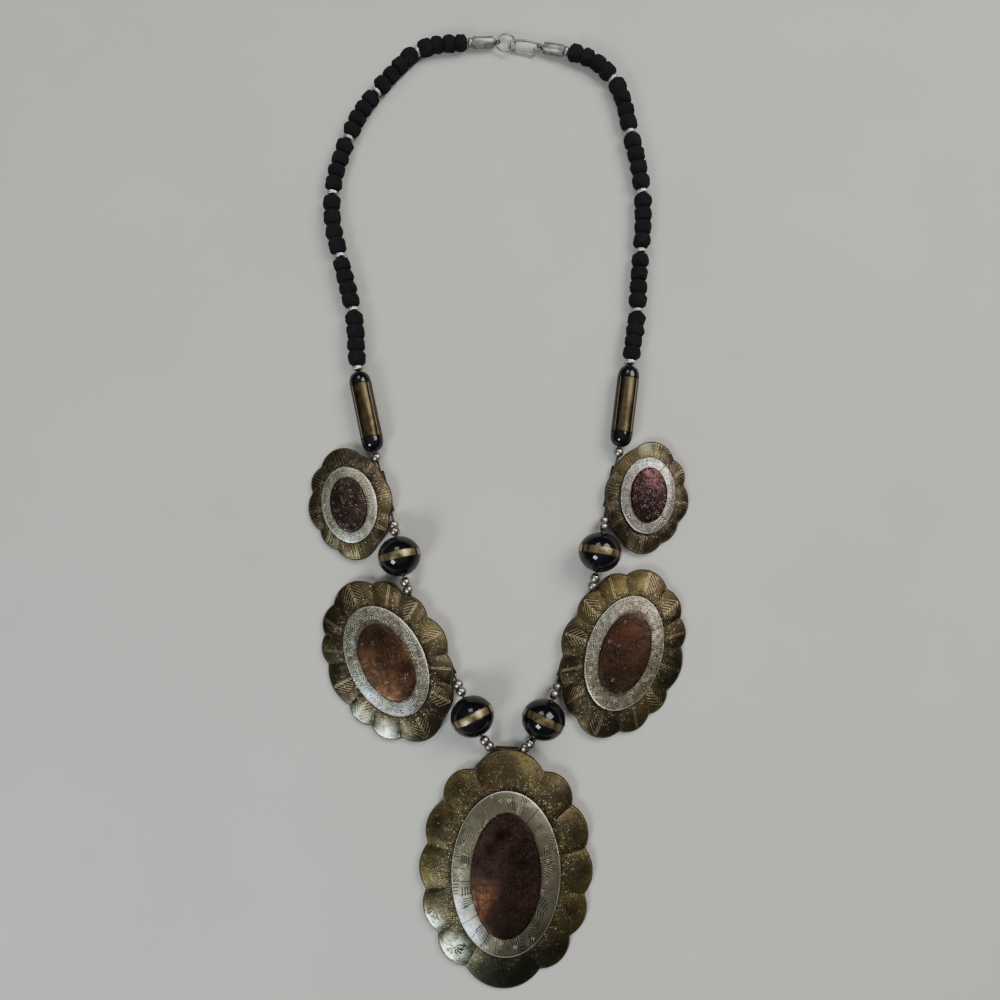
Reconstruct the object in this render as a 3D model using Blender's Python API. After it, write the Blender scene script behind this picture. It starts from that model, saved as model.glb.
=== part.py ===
"""Bib necklace, lying flat with its drop towards -Y.

Two strands of rough black beads run from a hook and ring clasp down to two tube
beads. Below them a thread carries four round beads, pairs of small silver balls
and five layered, scalloped plaques, each held by a tube soldered to its back.
Run with: blender --background --python part.py. Metres, +Z up.
"""

import math
import random
from collections import namedtuple

import bmesh
import bpy
from mathutils import Matrix, Vector

MM = 0.001

# Clearances and the thread that everything is strung on.
GAP = 0.3 * MM
THREAD_R = 0.3 * MM
BORE_R = THREAD_R + GAP

# Rough black beads, with the silver spacers between their groups.
ROUGH_D = 5.0 * MM
ROUGH_L = 3.95 * MM
BEADS_IN_GROUP = 4
SPACER_D = 3.2 * MM
SPACER_L = 1.5 * MM

# Thickness of the beads of each group as a share of ROUGH_L, from the clasp down.
LEFT_GROUPS = (0.92, 1.02, 0.96, 1.02, 1.14, 0.95, 1.01)
RIGHT_GROUPS = (0.97, 1.02, 1.10, 1.05, 1.04, 0.88)

# Small silver balls, and the slack beside them in which the thread bends.
BALL_D = 2.9 * MM
BEND_SLACK = 0.6 * MM

# Round beads: a black ball with a brass band let into its equator.
ROUND_D = 12.0 * MM
ROUND_L = 11.4 * MM
BAND_W = 2.3 * MM
BAND_T = 0.5 * MM

# Tube beads: a black core with tapered ends and a brass sleeve.
TUBE_D = 6.3 * MM
TUBE_L = 24.0 * MM
TUBE_TIP_D = 2.6 * MM
SLEEVE_L = 16.2 * MM
SLEEVE_T = 0.35 * MM

# Clasp: a cylinder with an eye at each end of the string, a ring and a hook.
FERRULE_D = 3.5 * MM
FERRULE_L = 6.2 * MM
COLLAR_D = 3.0 * MM
COLLAR_L = 1.5 * MM
EYE_WIRE_R = 0.35 * MM
RING_WIRE_R = 0.35 * MM
RING_R = 2.95 * MM
HOOK_WIRE_R = 0.40 * MM
HOOK_EYE_R = 1.10 * MM
HOOK_L = 8.0 * MM

# Plaque sheet, its back tube and the edges of the two ovals laid on it. The thread is
# bare for SHARP_TURN at each end of the centre tube, where it turns the corner.
SHEET = 0.8 * MM
BACK_TUBE_R = 1.1 * MM
SOLDER = 0.2 * MM
OVAL_EDGE = 0.5 * MM
SEAT = 0.96
CENTRE_TUBE_L = 6.4 * MM
SHARP_TURN = 0.6 * MM

# Half width and half height of the ellipse that a plaque's notches stand on.
CENTRE_HALF_W = 21.8 * MM
CENTRE_HALF_H = 28.6 * MM
MID_HALF_W = 15.8 * MM
MID_HALF_H = 22.7 * MM
SMALL_HALF_W = 11.0 * MM
SMALL_HALF_H = 15.0 * MM

# The side plaques hang on the string at a share of the half width. The string passes
# the ellipse there before the next ball, so that the balls clear the lobes, and the
# tube takes up a share of that run, which keeps it out of sight behind the lobes.
STRING_OUT = {"mid": 0.880, "small": 0.930}
MID_PASS = 2.5 * MM
SMALL_PASS = 3.1 * MM
TUBE_SHARE = {"mid": 0.90, "small": 0.70}


def run_behind(half_height, out, past):
    """Height of the ellipse of notches where the string runs, and what passes it."""
    return 2 * half_height * math.sqrt(1 - out ** 2) + 2 * past


# Lobes of a plaque's rim, clockwise from the top: the angle of each notch on the
# ellipse, in degrees, and the bulge of the lobe after it as a share of its chord.
Lobe = namedtuple("Lobe", "notch bulge")
CENTRE_LOBES = (
    Lobe(26, 0.26), Lobe(53, 0.20), Lobe(78, 0.18), Lobe(102, 0.20),
    Lobe(126, 0.22), Lobe(153, 0.27), Lobe(207, 0.22), Lobe(234, 0.20),
    Lobe(258, 0.18), Lobe(282, 0.20), Lobe(307, 0.28), Lobe(334, 0.30))
MID_LOBES = (
    Lobe(25, 0.24), Lobe(53, 0.20), Lobe(78, 0.18), Lobe(108, 0.14),
    Lobe(131, 0.15), Lobe(161, 0.28), Lobe(206, 0.21), Lobe(235, 0.19),
    Lobe(257, 0.15), Lobe(290, 0.18), Lobe(312, 0.20), Lobe(340, 0.28))
SMALL_LOBES = (
    Lobe(27, 0.12), Lobe(68, 0.16), Lobe(113, 0.14), Lobe(151, 0.32),
    Lobe(214, 0.16), Lobe(247, 0.20), Lobe(291, 0.20), Lobe(324, 0.31))


# The three kinds of plaque. Half sizes of the two ovals are shares of the plaque's own,
# and so is the place of the back tube's middle. How far each layer rises is a share of
# the half width. run is the string's length behind the plaque, of which tube_l is in
# the tube. The tube's turn is in degrees.
Kind = namedtuple("Kind", "half silver copper rises run tube_l tube_at tube_turn lobes steps")
MID_RUN = run_behind(MID_HALF_H, STRING_OUT["mid"], MID_PASS)
SMALL_RUN = run_behind(SMALL_HALF_H, STRING_OUT["small"], SMALL_PASS)
KINDS = {
    "centre": Kind((CENTRE_HALF_W, CENTRE_HALF_H), (0.674, 0.752), (0.431, 0.556),
                   (0.119, 0.050, 0.041), CENTRE_TUBE_L, CENTRE_TUBE_L,
                   (-0.035, 1.08), 90, CENTRE_LOBES, 4),
    "mid": Kind((MID_HALF_W, MID_HALF_H), (0.667, 0.718), (0.429, 0.493),
                (0.128, 0.051, 0.045), MID_RUN, MID_RUN * TUBE_SHARE["mid"],
                (STRING_OUT["mid"], -0.035), -1.5, MID_LOBES, 4),
    "small": Kind((SMALL_HALF_W, SMALL_HALF_H), (0.726, 0.740), (0.472, 0.517),
                  (0.123, 0.057, 0.057), SMALL_RUN, SMALL_RUN * TUBE_SHARE["small"],
                  (STRING_OUT["small"], 0.09), 4, SMALL_LOBES, 4),
}

# The five plaques: kind, side (+1 where the string runs on the plaque's right, -1 on
# its left), turn of the ovals in degrees, and how far each oval lies off centre.
Plaque = namedtuple("Plaque", "kind side oval_turn silver_slip copper_slip")
PLAQUES = {
    "small_left": Plaque("small", 1, 0, -0.7 * MM, -0.9 * MM),
    "mid_left": Plaque("mid", 1, -2, 0.0, -0.6 * MM),
    "centre": Plaque("centre", 1, 1, -0.4 * MM, -0.8 * MM),
    "mid_right": Plaque("mid", -1, 3, 0.0, 0.0),
    "small_right": Plaque("small", -1, 3, 0.2 * MM, 0.2 * MM),
}

# Route of the string, chosen by hand, in millimetres: from the ring down the left
# side, past the centre plaque and up the right side to the hook.
ROUTE = (
    (-1.2, 141.3), (-10.5, 140.5), (-18.5, 140.0), (-25.5, 137.5), (-31.5, 131.5),
    (-37.3, 124.3), (-42.2, 117.0), (-45.5, 109.0), (-48.3, 100.5), (-49.6, 91.5),
    (-49.1, 81.2), (-46.6, 71.5), (-44.2, 62.0), (-42.3, 54.5), (-41.5, 45.5),
    (-40.6, 36.8), (-38.0, 24.3), (-34.8, 11.4), (-32.1, 2.2), (-29.8, -6.5),
    (-27.5, -16.6), (-25.2, -26.0), (-19.0, -37.0), (-12.3, -49.0), (-6.8, -60.1),
    (-2.6, -68.0), (2.2, -68.6), (7.0, -68.0), (12.0, -59.3), (16.0, -50.0),
    (20.7, -37.4), (25.4, -25.0), (27.5, -15.2), (29.4, -4.5), (31.2, 4.5),
    (33.6, 13.5), (35.6, 25.5), (37.0, 37.6), (38.4, 46.0), (39.7, 54.5),
    (40.4, 64.0), (41.2, 73.0), (42.1, 82.0), (42.2, 91.8), (41.1, 101.3),
    (39.0, 111.0), (37.6, 119.5), (34.4, 128.5), (27.9, 135.1), (20.6, 137.7),
    (11.9, 139.7), (4.7, 140.9))

# Flat sides that each kind of round shape is cut into.
Facets = namedtuple("Facets", "rough ball round tube wire silver copper")
FACETS = Facets(10, 10, 14, 12, 6, 24, 20)


# Materials

def material(name, color, roughness, metallic):
    """A Principled BSDF with the piece's colour, roughness and metallic value."""
    made = bpy.data.materials.new(name)
    made.use_nodes = True
    shader = made.node_tree.nodes["Principled BSDF"]
    shader.inputs["Base Color"].default_value = (*color, 1.0)
    shader.inputs["Roughness"].default_value = roughness
    shader.inputs["Metallic"].default_value = metallic
    made.diffuse_color = (*color, 1.0)
    return made


def make_materials():
    return {
        "antique_brass": material("antique_brass", (0.23, 0.16, 0.08), 0.35, 1.0),
        "polished_brass": material("polished_brass", (0.50, 0.37, 0.20), 0.22, 1.0),
        "aged_silver": material("aged_silver", (0.52, 0.49, 0.45), 0.38, 1.0),
        "bright_silver": material("bright_silver", (0.62, 0.61, 0.59), 0.18, 1.0),
        "aged_copper": material("aged_copper", (0.16, 0.08, 0.06), 0.42, 1.0),
        "nickel": material("nickel", (0.42, 0.42, 0.41), 0.30, 1.0),
        "rough_black": material("rough_black", (0.015, 0.015, 0.017), 0.90, 0.0),
        "gloss_black": material("gloss_black", (0.010, 0.010, 0.014), 0.08, 0.0),
        "thread": material("thread", (0.03, 0.03, 0.03), 0.80, 0.0),
    }


# Mesh helpers

def skin(name, rings, closed=False):
    """Mesh that joins equal rings of points: capped at both ends, or closed on itself."""
    bm = bmesh.new()
    rows = [[bm.verts.new(point) for point in ring] for ring in rings]
    pairs = list(zip(rows, rows[1:]))
    if closed:
        pairs.append((rows[-1], rows[0]))
    else:
        bm.faces.new(rows[0])
        bm.faces.new(rows[-1])
    for low, high in pairs:
        for i in range(len(low)):
            j = (i + 1) % len(low)
            bm.faces.new((low[i], low[j], high[j], high[i]))
    bmesh.ops.recalc_face_normals(bm, faces=bm.faces)
    mesh = bpy.data.meshes.new(name)
    bm.to_mesh(mesh)
    bm.free()
    return mesh


def circle(center, axis, radius, sides):
    """Points of a ring about an axis that is never upright, with one flat side down."""
    side = axis.cross(Vector((0, 0, 1))).normalized()
    up = side.cross(axis).normalized()
    angles = [(i + 0.5) * 2 * math.pi / sides for i in range(sides)]
    return [center + radius * (math.sin(a) * side + math.cos(a) * up) for a in angles]


def lathe(name, profile, sides, closed=False):
    """Turned mesh along local X from (distance along X, radius) pairs."""
    axis = Vector((1, 0, 0))
    return skin(name, [circle(axis * x, axis, r, sides) for x, r in profile], closed)


def drilled(profile):
    """Adds the bore of the thread to a turned profile, whose ends are x values."""
    return [(profile[0][0], BORE_R), *profile, (profile[-1][0], BORE_R)]


def swept(name, path, radius, sides):
    """Wire of one radius along a list of points."""
    rings = []
    for i, point in enumerate(path):
        ahead = path[min(i + 1, len(path) - 1)] - point
        behind = point - path[max(i - 1, 0)]
        axis = (ahead.normalized() + behind.normalized()).normalized()
        rings.append(circle(point, axis, radius, sides))
    return skin(name, rings)


def torus(name, radius, wire_r, segments, sides):
    """Ring in the local XY plane."""
    rings = []
    for k in range(segments):
        a = 2 * math.pi * k / segments
        out = Vector((math.cos(a), math.sin(a), 0))
        tangent = Vector((-math.sin(a), math.cos(a), 0))
        rings.append(circle(out * radius, tangent, wire_r, sides))
    return skin(name, rings, closed=True)


def add(name, mesh, look, matrix=None, sharp=40):
    """One named object with its material, smooth except over its real edges."""
    mesh.materials.clear()
    mesh.materials.append(look)
    mesh.shade_smooth()
    mesh.set_sharp_from_angle(angle=math.radians(sharp))
    thing = bpy.data.objects.new(name, mesh)
    bpy.context.scene.collection.objects.link(thing)
    thing.matrix_world = matrix or Matrix()
    return thing


def fuse(base, extra):
    """Solders one object to another, as a union baked into one closed mesh."""
    union = base.modifiers.new("solder", "BOOLEAN")
    union.operation = "UNION"
    union.solver = "EXACT"
    union.object = extra
    bpy.context.view_layer.update()
    baked = bpy.data.meshes.new_from_object(
        base.evaluated_get(bpy.context.evaluated_depsgraph_get()))
    base.modifiers.clear()
    base.data = baked
    bpy.data.objects.remove(extra)
    return base


# The string: what is on it, and where each piece lies

Item = namedtuple("Item", "kind name length height")
Placed = namedtuple("Placed", "kind name start end")

STRAND_Z = ROUGH_D / 2
TUBE_Z = TUBE_D / 2
ROUND_Z = ROUND_D / 2
CLASP_Z = FERRULE_D / 2
BACK_TUBE_Z = BACK_TUBE_R * math.cos(math.pi / FACETS.tube)
EYE_R = HOOK_WIRE_R + GAP + EYE_WIRE_R
FERRULE_RUN = EYE_R + FERRULE_L + COLLAR_L


def plan_length(run, drop):
    """How much of the route a sloping run takes up, seen from above."""
    return math.sqrt(run ** 2 - drop ** 2)


PAIR_RUN = 2 * BALL_D + 2 * BEND_SLACK
PAIR_PLAN = plan_length(PAIR_RUN, ROUND_Z - BACK_TUBE_Z)
BALL_RUN = BALL_D + BEND_SLACK
BALL_PLAN = plan_length(BALL_RUN, TUBE_Z - BACK_TUBE_Z)


def strand_items(side, groups):
    """Rough beads and spacers of one side, from the clasp down."""
    items = []
    for g, share in enumerate(groups, start=1):
        last = g == len(groups)
        for b in range(BEADS_IN_GROUP):
            rise = (b + 1) / BEADS_IN_GROUP if last else 0.0
            height = STRAND_Z + rise * (TUBE_Z - STRAND_Z)
            items.append(Item("rough", f"{side}_bead_strand", ROUGH_L * share, height))
        spacer_height = TUBE_Z if last else STRAND_Z
        items.append(Item("spacer", f"{side}_spacer_{g}", SPACER_L + 2 * GAP, spacer_height))
    return items


def side_items(side, groups):
    """Everything on one side, from its ferrule down to the centre plaque."""
    def plaque(kind):
        return Item("plaque", f"{kind}_{side}", KINDS[kind].run + GAP, BACK_TUBE_Z)

    def pair(number):
        return Item("pair", f"{side}_ball_pair_{number}", PAIR_PLAN, None)

    def ball(place):
        return Item("round", f"{side}_{place}_round_bead", ROUND_L + GAP, ROUND_Z)

    return [
        Item("ferrule", f"{side}_ferrule", FERRULE_RUN + GAP, None),
        *strand_items(side, groups),
        Item("tube", f"{side}_tube_bead", TUBE_L + GAP, TUBE_Z),
        Item("ball", f"{side}_end_ball", BALL_PLAN, None),
        plaque("small"), pair(1), ball("upper"), pair(2),
        plaque("mid"), pair(3), ball("lower"), pair(4)]


def loop_items():
    """The whole loop in order: left side down, centre plaque, right side up, clasp."""
    centre_l = KINDS["centre"].run + GAP + 2 * SHARP_TURN
    centre = Item("plaque", "centre", centre_l, BACK_TUBE_Z)
    return [
        *side_items("left", LEFT_GROUPS), centre,
        *reversed(side_items("right", RIGHT_GROUPS)),
        Item("hook", "clasp_hook", HOOK_L, CLASP_Z),
        Item("ring", "clasp_ring", 2 * RING_R, CLASP_Z)]


def smooth_route(points, steps=40):
    """Closed smooth curve through the route's points (centripetal Catmull-Rom)."""
    count = len(points)
    nodes = [Vector(point) * MM for point in points]
    curve = []
    for i in range(count):
        p = [nodes[(i + k - 1) % count] for k in range(4)]
        t = [0.0]
        for a, b in zip(p, p[1:]):
            t.append(t[-1] + math.sqrt((b - a).length))
        for k in range(steps):
            u = t[1] + (t[2] - t[1]) * k / steps
            row, knots = list(p), 1
            while len(row) > 1:
                row = [((t[j + knots] - u) * row[j] + (u - t[j]) * row[j + 1])
                       / (t[j + knots] - t[j]) for j in range(len(row) - 1)]
                if len(row) == 2:
                    row = [((t[2] - u) * row[0] + (u - t[1]) * row[1]) / (t[2] - t[1])]
                knots += 1
            curve.append(row[0])
    return curve


def walk(curve, scale, lengths):
    """Steps along the scaled curve, one straight length after the other.

    Returns the points stepped on, and how many curve points were used.
    """
    count = len(curve)
    here = curve[0] * scale
    stops, index = [here], 0
    for length in lengths:
        while (curve[(index + 1) % count] * scale - here).length < length:
            index += 1
            if index > 2 * count:
                return stops, index
        low = curve[index % count] * scale
        high = curve[(index + 1) % count] * scale
        near, far = 0.0, 1.0
        for _ in range(20):
            middle = (near + far) / 2
            if (low.lerp(high, middle) - here).length < length:
                near = middle
            else:
                far = middle
        here = low.lerp(high, far)
        stops.append(here)
    return stops, index + far


def fit_route(curve, lengths):
    """Scales the route until the strung pieces close the loop exactly."""
    small, large = 0.4, 2.5
    for _ in range(30):
        scale = (small + large) / 2
        stops, used = walk(curve, scale, lengths)
        if used > len(curve):
            small = scale
        else:
            large = scale
    return stops


def place_items(items):
    """Each item with its two ends, as points on the string's own line."""
    stops = fit_route(smooth_route(ROUTE), [item.length for item in items])
    count = len(items)
    placed = []
    for i, item in enumerate(items):
        if item.height is None:
            before = items[i - 1].height
            after = items[(i + 1) % count].height
        else:
            before = after = item.height
        start = Vector((*stops[i], before))
        end = Vector((*stops[i + 1], after))
        placed.append(Placed(item.kind, item.name, start, end))
    return placed


def along(start, end):
    """Matrix that lays local X on the line from start to end, about its middle."""
    x = (end - start).normalized()
    y = Vector((0, 0, 1)).cross(x).normalized()
    z = x.cross(y)
    turn = Matrix((x, y, z)).transposed().to_4x4()
    return Matrix.Translation((start + end) / 2) @ turn


# Beads

def rough_strand(name, beads, spacers, far_end, look):
    """One strand of rough beads, fused on its thread, which also runs on to far_end.

    Each bead has its own small difference of thickness, as porous stone beads do.
    """
    rng = random.Random(name)
    rings = []
    first_axis = (beads[0].end - beads[0].start).normalized()
    stub = beads[0].start - first_axis * COLLAR_L
    rings.append(circle(stub, first_axis, THREAD_R, FACETS.rough))
    rings.append(circle(beads[0].start, first_axis, THREAD_R, FACETS.rough))
    for bead in beads:
        middle = (bead.start + bead.end) / 2
        half = (bead.end - bead.start) / 2
        axis = half.normalized()
        radius = ROUGH_D / 2 * rng.uniform(0.965, 1.0)
        for along_share, radius_share in ((-0.95, 0.50), (-0.42, 0.96), (0.42, 0.96), (0.95, 0.50)):
            rings.append(circle(middle + half * along_share, axis, radius * radius_share,
                                FACETS.rough))
        for spacer in spacers:
            if (bead.end - spacer.start).length < GAP:
                through = (spacer.end - spacer.start).normalized()
                rings.append(circle(spacer.start, through, THREAD_R, FACETS.rough))
                rings.append(circle(spacer.end, through, THREAD_R, FACETS.rough))
    last_axis = (far_end - beads[-1].end).normalized()
    rings.append(circle(far_end, last_axis, THREAD_R, FACETS.rough))
    return add(name, skin(name, rings), look)


def spacer_mesh():
    """Silver rondelle with a rounded rim, drilled for the thread."""
    half = SPACER_L / 2
    rim = SPACER_D / 2
    return lathe("spacer", drilled([(-half, 0.8 * rim), (0, rim), (half, 0.8 * rim)]),
                 FACETS.ball, closed=True)


def ball_profile(center):
    """Half a turned ball about a point of the axis, without its two poles."""
    radius = BALL_D / 2
    return [(center + radius * t, radius * math.sqrt(1 - t * t)) for t in (-0.62, 0, 0.62)]


def ball_mesh():
    reach = math.sqrt((BALL_D / 2) ** 2 - BORE_R ** 2)
    profile = [(-reach, BORE_R), *ball_profile(0), (reach, BORE_R)]
    return lathe("ball", profile, FACETS.ball, closed=True)


def pair_mesh():
    """Two balls soldered side by side, drilled through."""
    center = BALL_D / 2
    reach = center + math.sqrt((BALL_D / 2) ** 2 - BORE_R ** 2)
    profile = [(-reach, BORE_R), *ball_profile(-center), (0, BORE_R + GAP / 2),
               *ball_profile(center), (reach, BORE_R)]
    return lathe("ball_pair", profile, FACETS.ball, closed=True)


def round_bead_mesh():
    """Black bead with a groove at its equator for the band."""
    half, radius = ROUND_L / 2, ROUND_D / 2
    lip = BAND_W / 2 + GAP
    floor = radius - BAND_T - GAP
    shoulder = radius * math.sqrt(1 - (lip / half) ** 2)
    right = [(lip, floor), (lip, shoulder), (0.55 * half, 0.84 * radius),
             (0.86 * half, 0.55 * radius), (0.99 * half, 0.18 * radius)]
    left = [(-x, r) for x, r in reversed(right)]
    return lathe("round_bead", drilled(left + right), FACETS.round, closed=True)


def band_mesh():
    half, outer = BAND_W / 2, ROUND_D / 2
    inner = outer - BAND_T
    corners = [(-half, inner), (-half, outer), (half, outer), (half, inner)]
    return lathe("band", corners, FACETS.round, closed=True)


def tube_core_mesh():
    """Black core: narrow under the sleeve, with rounded, tapered ends."""
    half, sleeve = TUBE_L / 2, SLEEVE_L / 2 + GAP
    radius = TUBE_D / 2
    neck = radius - SLEEVE_T - GAP
    right = [(sleeve, neck), (sleeve, radius), (sleeve + 0.35 * (half - sleeve), 0.95 * radius),
             (half, TUBE_TIP_D / 2)]
    left = [(-x, r) for x, r in reversed(right)]
    return lathe("tube_core", drilled(left + right), FACETS.tube, closed=True)


def sleeve_mesh():
    half, outer = SLEEVE_L / 2, TUBE_D / 2
    inner = outer - SLEEVE_T
    corners = [(-half, inner), (-half, outer), (half, outer), (half, inner)]
    return lathe("sleeve", corners, FACETS.tube, closed=True)


# Clasp

def ferrule(placed, from_eye, look):
    """Cylinder with a collar, a blind bore for the thread and a soldered wire eye."""
    start, end = (placed.start, placed.end) if from_eye else (placed.end, placed.start)
    matrix = along(start, end)
    base = -(end - start).length / 2
    back = base + EYE_R - EYE_WIRE_R / 2
    front = base + EYE_R + FERRULE_L
    tip = front + COLLAR_L
    chamfer = 0.9 * FERRULE_D / 2
    profile = [(back, chamfer), (back + GAP, FERRULE_D / 2), (front, FERRULE_D / 2),
               (front, 0.8 * COLLAR_D / 2), (front + COLLAR_L / 2, COLLAR_D / 2),
               (tip, 0.8 * COLLAR_D / 2), (tip, BORE_R), (tip - COLLAR_L - GAP, BORE_R)]
    body = add(placed.name, lathe(placed.name, profile, FACETS.tube), look, matrix)
    upright = Matrix.Translation((base, 0, 0)) @ Matrix.Rotation(math.pi / 2, 4, "X")
    eye = add("eye", torus("eye", EYE_R, EYE_WIRE_R, 12, FACETS.wire), look, matrix @ upright)
    return fuse(body, eye)


def hook_path():
    """Bent wire of the hook: eye, shank over the ring, bend, and leg under the ring.

    Local X runs from the ring's wire to the ferrule's eye, local Z is up.
    """
    eye_x = HOOK_L - HOOK_EYE_R
    path = []
    for degrees in range(205, 466, 29):
        a = math.radians(degrees)
        path.append(Vector((eye_x + HOOK_EYE_R * math.cos(a), HOOK_EYE_R * math.sin(a), 0)))
    lift = RING_WIRE_R + HOOK_WIRE_R + GAP
    reach = RING_R * 0.55
    path += [Vector((0.50 * HOOK_L, 0.95 * HOOK_EYE_R, 0.6 * lift)),
             Vector((0.15 * HOOK_L, 0.55 * HOOK_EYE_R, lift)),
             Vector((-0.35 * reach, 0.30 * HOOK_EYE_R, lift)),
             Vector((-0.85 * reach, 0, 0.7 * lift)),
             Vector((-reach, -0.60 * HOOK_EYE_R, 0)),
             Vector((-0.80 * reach, -1.15 * HOOK_EYE_R, -0.7 * lift)),
             Vector((-0.25 * reach, -1.50 * HOOK_EYE_R, -lift)),
             Vector((0.25 * HOOK_L, -1.65 * HOOK_EYE_R, -lift)),
             Vector((0.62 * HOOK_L, -1.85 * HOOK_EYE_R, -0.95 * lift)),
             Vector((0.80 * HOOK_L, -2.40 * HOOK_EYE_R, -0.85 * lift))]
    return path


def clasp(placed, looks):
    """The hook, the ring and the two ferrules, each link through the next."""
    ring, hook = placed["clasp_ring"], placed["clasp_hook"]
    add("clasp_ring", torus("clasp_ring", RING_R, RING_WIRE_R, 16, FACETS.wire),
        looks["nickel"], along(ring.start, ring.end))
    wire = swept("clasp_hook", hook_path(), HOOK_WIRE_R, FACETS.wire)
    lay = along(hook.end, hook.start) @ Matrix.Translation((-HOOK_L / 2, 0, 0))
    add("clasp_hook", wire, looks["nickel"], lay)
    ferrule(placed["left_ferrule"], True, looks["nickel"])
    ferrule(placed["right_ferrule"], False, looks["nickel"])


# Plaques

def arc(start, end, bulge, steps):
    """Points of a circular arc that bulges to the left of start to end, without end."""
    chord = end - start
    out = Vector((-chord.y, chord.x))
    half_angle = 2 * math.atan(2 * bulge)
    drop = chord.length / 2 / math.tan(half_angle)
    middle = (start + end) / 2 - out.normalized() * drop
    points = []
    for k in range(steps):
        turn = -2 * half_angle * k / steps
        points.append(middle + Matrix.Rotation(turn, 2) @ (start - middle))
    return points


def rim_outline(kind, side):
    """Scalloped outline of a plaque, as points in its own plane."""
    width, height = kind.half
    notches = []
    for lobe in kind.lobes:
        a = math.radians(lobe.notch)
        notches.append(Vector((width * math.sin(a), height * math.cos(a))))
    points = []
    for i, lobe in enumerate(kind.lobes):
        following = notches[(i + 1) % len(notches)]
        points += arc(notches[i], following, lobe.bulge, kind.steps)
    return [Vector((p.x * side, p.y)) for p in points]


def ellipse(half, angles, share=1.0):
    width, height = half
    return [Vector((width * share * math.sin(a), height * share * math.cos(a))) for a in angles]


def oval_half(kind, shares):
    """Half width and half height of an oval of this kind of plaque."""
    return kind.half[0] * shares[0], kind.half[1] * shares[1]


def rise_of(kind, layer):
    """How far a layer of the plaque rises: 0 is the brass, 1 the silver, 2 the copper."""
    return kind.half[0] * kind.rises[layer]


def raised(points, z):
    return [Vector((p.x, p.y, z)) for p in points]


def plate_mesh(name, kind, side):
    """Domed sheet, hollow behind, with a flat middle that the silver oval lies on."""
    outline = rim_outline(kind, side)
    width, height = kind.half
    angles = [math.atan2(p.x / width, p.y / height) for p in outline]
    seat = ellipse(oval_half(kind, kind.silver), angles, SEAT)
    shoulder = [(a + b) / 2 for a, b in zip(outline, seat)]
    rise = rise_of(kind, 0)
    return skin(name, [raised(seat, rise), raised(outline, 0), raised(outline, SHEET),
                       raised(shoulder, SHEET + 0.6 * rise), raised(seat, SHEET + rise)])


def silver_mesh(name, kind):
    """Silver oval: an upright edge, a domed margin and a flat seat for the copper."""
    angles = [2 * math.pi * i / FACETS.silver for i in range(FACETS.silver)]
    edge = ellipse(oval_half(kind, kind.silver), angles)
    seat = ellipse(oval_half(kind, kind.copper), angles, SEAT)
    margin = [(a + b) / 2 for a, b in zip(edge, seat)]
    rise = rise_of(kind, 1)
    return skin(name, [raised(edge, 0), raised(edge, OVAL_EDGE),
                       raised(margin, OVAL_EDGE + 0.6 * rise), raised(seat, OVAL_EDGE + rise)])


def copper_mesh(name, kind):
    """Copper oval: an upright edge under a low dome."""
    angles = [2 * math.pi * i / FACETS.copper for i in range(FACETS.copper)]
    half = oval_half(kind, kind.copper)
    rings = [raised(ellipse(half, angles), 0)]
    for share in (1.0, 0.72, 0.36):
        height = OVAL_EDGE + rise_of(kind, 2) * (1 - share ** 2)
        rings.append(raised(ellipse(half, angles, share), height))
    return skin(name, rings)


def tube_line(kind, side):
    """Middle of the back tube and its direction down the string, in the plaque."""
    width, height = kind.half
    middle = Vector((side * kind.tube_at[0] * width, kind.tube_at[1] * height,
                     SOLDER - BACK_TUBE_R))
    turn = math.radians(kind.tube_turn)
    return middle, Vector((side * math.sin(turn), -math.cos(turn), 0))


def resting_tilt(kind, side):
    """Tilt about the back tube at which the plaque's far rim also touches the table."""
    middle, down = tube_line(kind, side)
    across = Vector((down.y, -down.x, 0))
    reach = max(abs(across.dot(raised([p], 0)[0] - middle)) for p in rim_outline(kind, side))
    tilt = math.atan2(BACK_TUBE_Z - middle.z, reach)
    falls = down.cross(-middle).z
    return -tilt if falls > 0 else tilt


def plaque(name, placed, looks):
    """Brass plate with its back tube, silver oval and copper oval, as they lie."""
    spec = PLAQUES[name]
    kind = KINDS[spec.kind]
    middle, down = tube_line(kind, spec.side)
    tilt = resting_tilt(kind, spec.side)
    start, end = placed.start, placed.end
    if spec.side < 0:
        start, end = end, start
    heading = math.atan2(end.y - start.y, end.x - start.x) - math.atan2(down.y, down.x)
    tip = Matrix.Rotation(tilt, 4, down)
    lay = (Matrix.Translation((start + end) / 2) @ Matrix.Rotation(heading, 4, "Z")
           @ tip @ Matrix.Translation(-middle))
    plate = add(f"{name}_plate", plate_mesh(name, kind, spec.side), looks["antique_brass"], lay)
    half = kind.tube_l / 2
    wall = [(-half, BORE_R), (-half, BACK_TUBE_R), (half, BACK_TUBE_R), (half, BORE_R)]
    pipe = add("back_tube", lathe("back_tube", wall, FACETS.tube, closed=True),
               looks["antique_brass"], along(start, end))
    fuse(plate, pipe)
    turn = Matrix.Rotation(math.radians(spec.oval_turn), 4, "Z")
    silver_z = SHEET + rise_of(kind, 0) + GAP
    copper_z = silver_z + OVAL_EDGE + rise_of(kind, 1) + GAP
    add(f"{name}_silver_oval", silver_mesh(f"{name}_silver", kind), looks["aged_silver"],
        lay @ Matrix.Translation((0, spec.silver_slip, silver_z)) @ turn)
    add(f"{name}_copper_oval", copper_mesh(f"{name}_copper", kind), looks["aged_copper"],
        lay @ Matrix.Translation((0, spec.copper_slip, copper_z)) @ turn)


# Assembly

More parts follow.
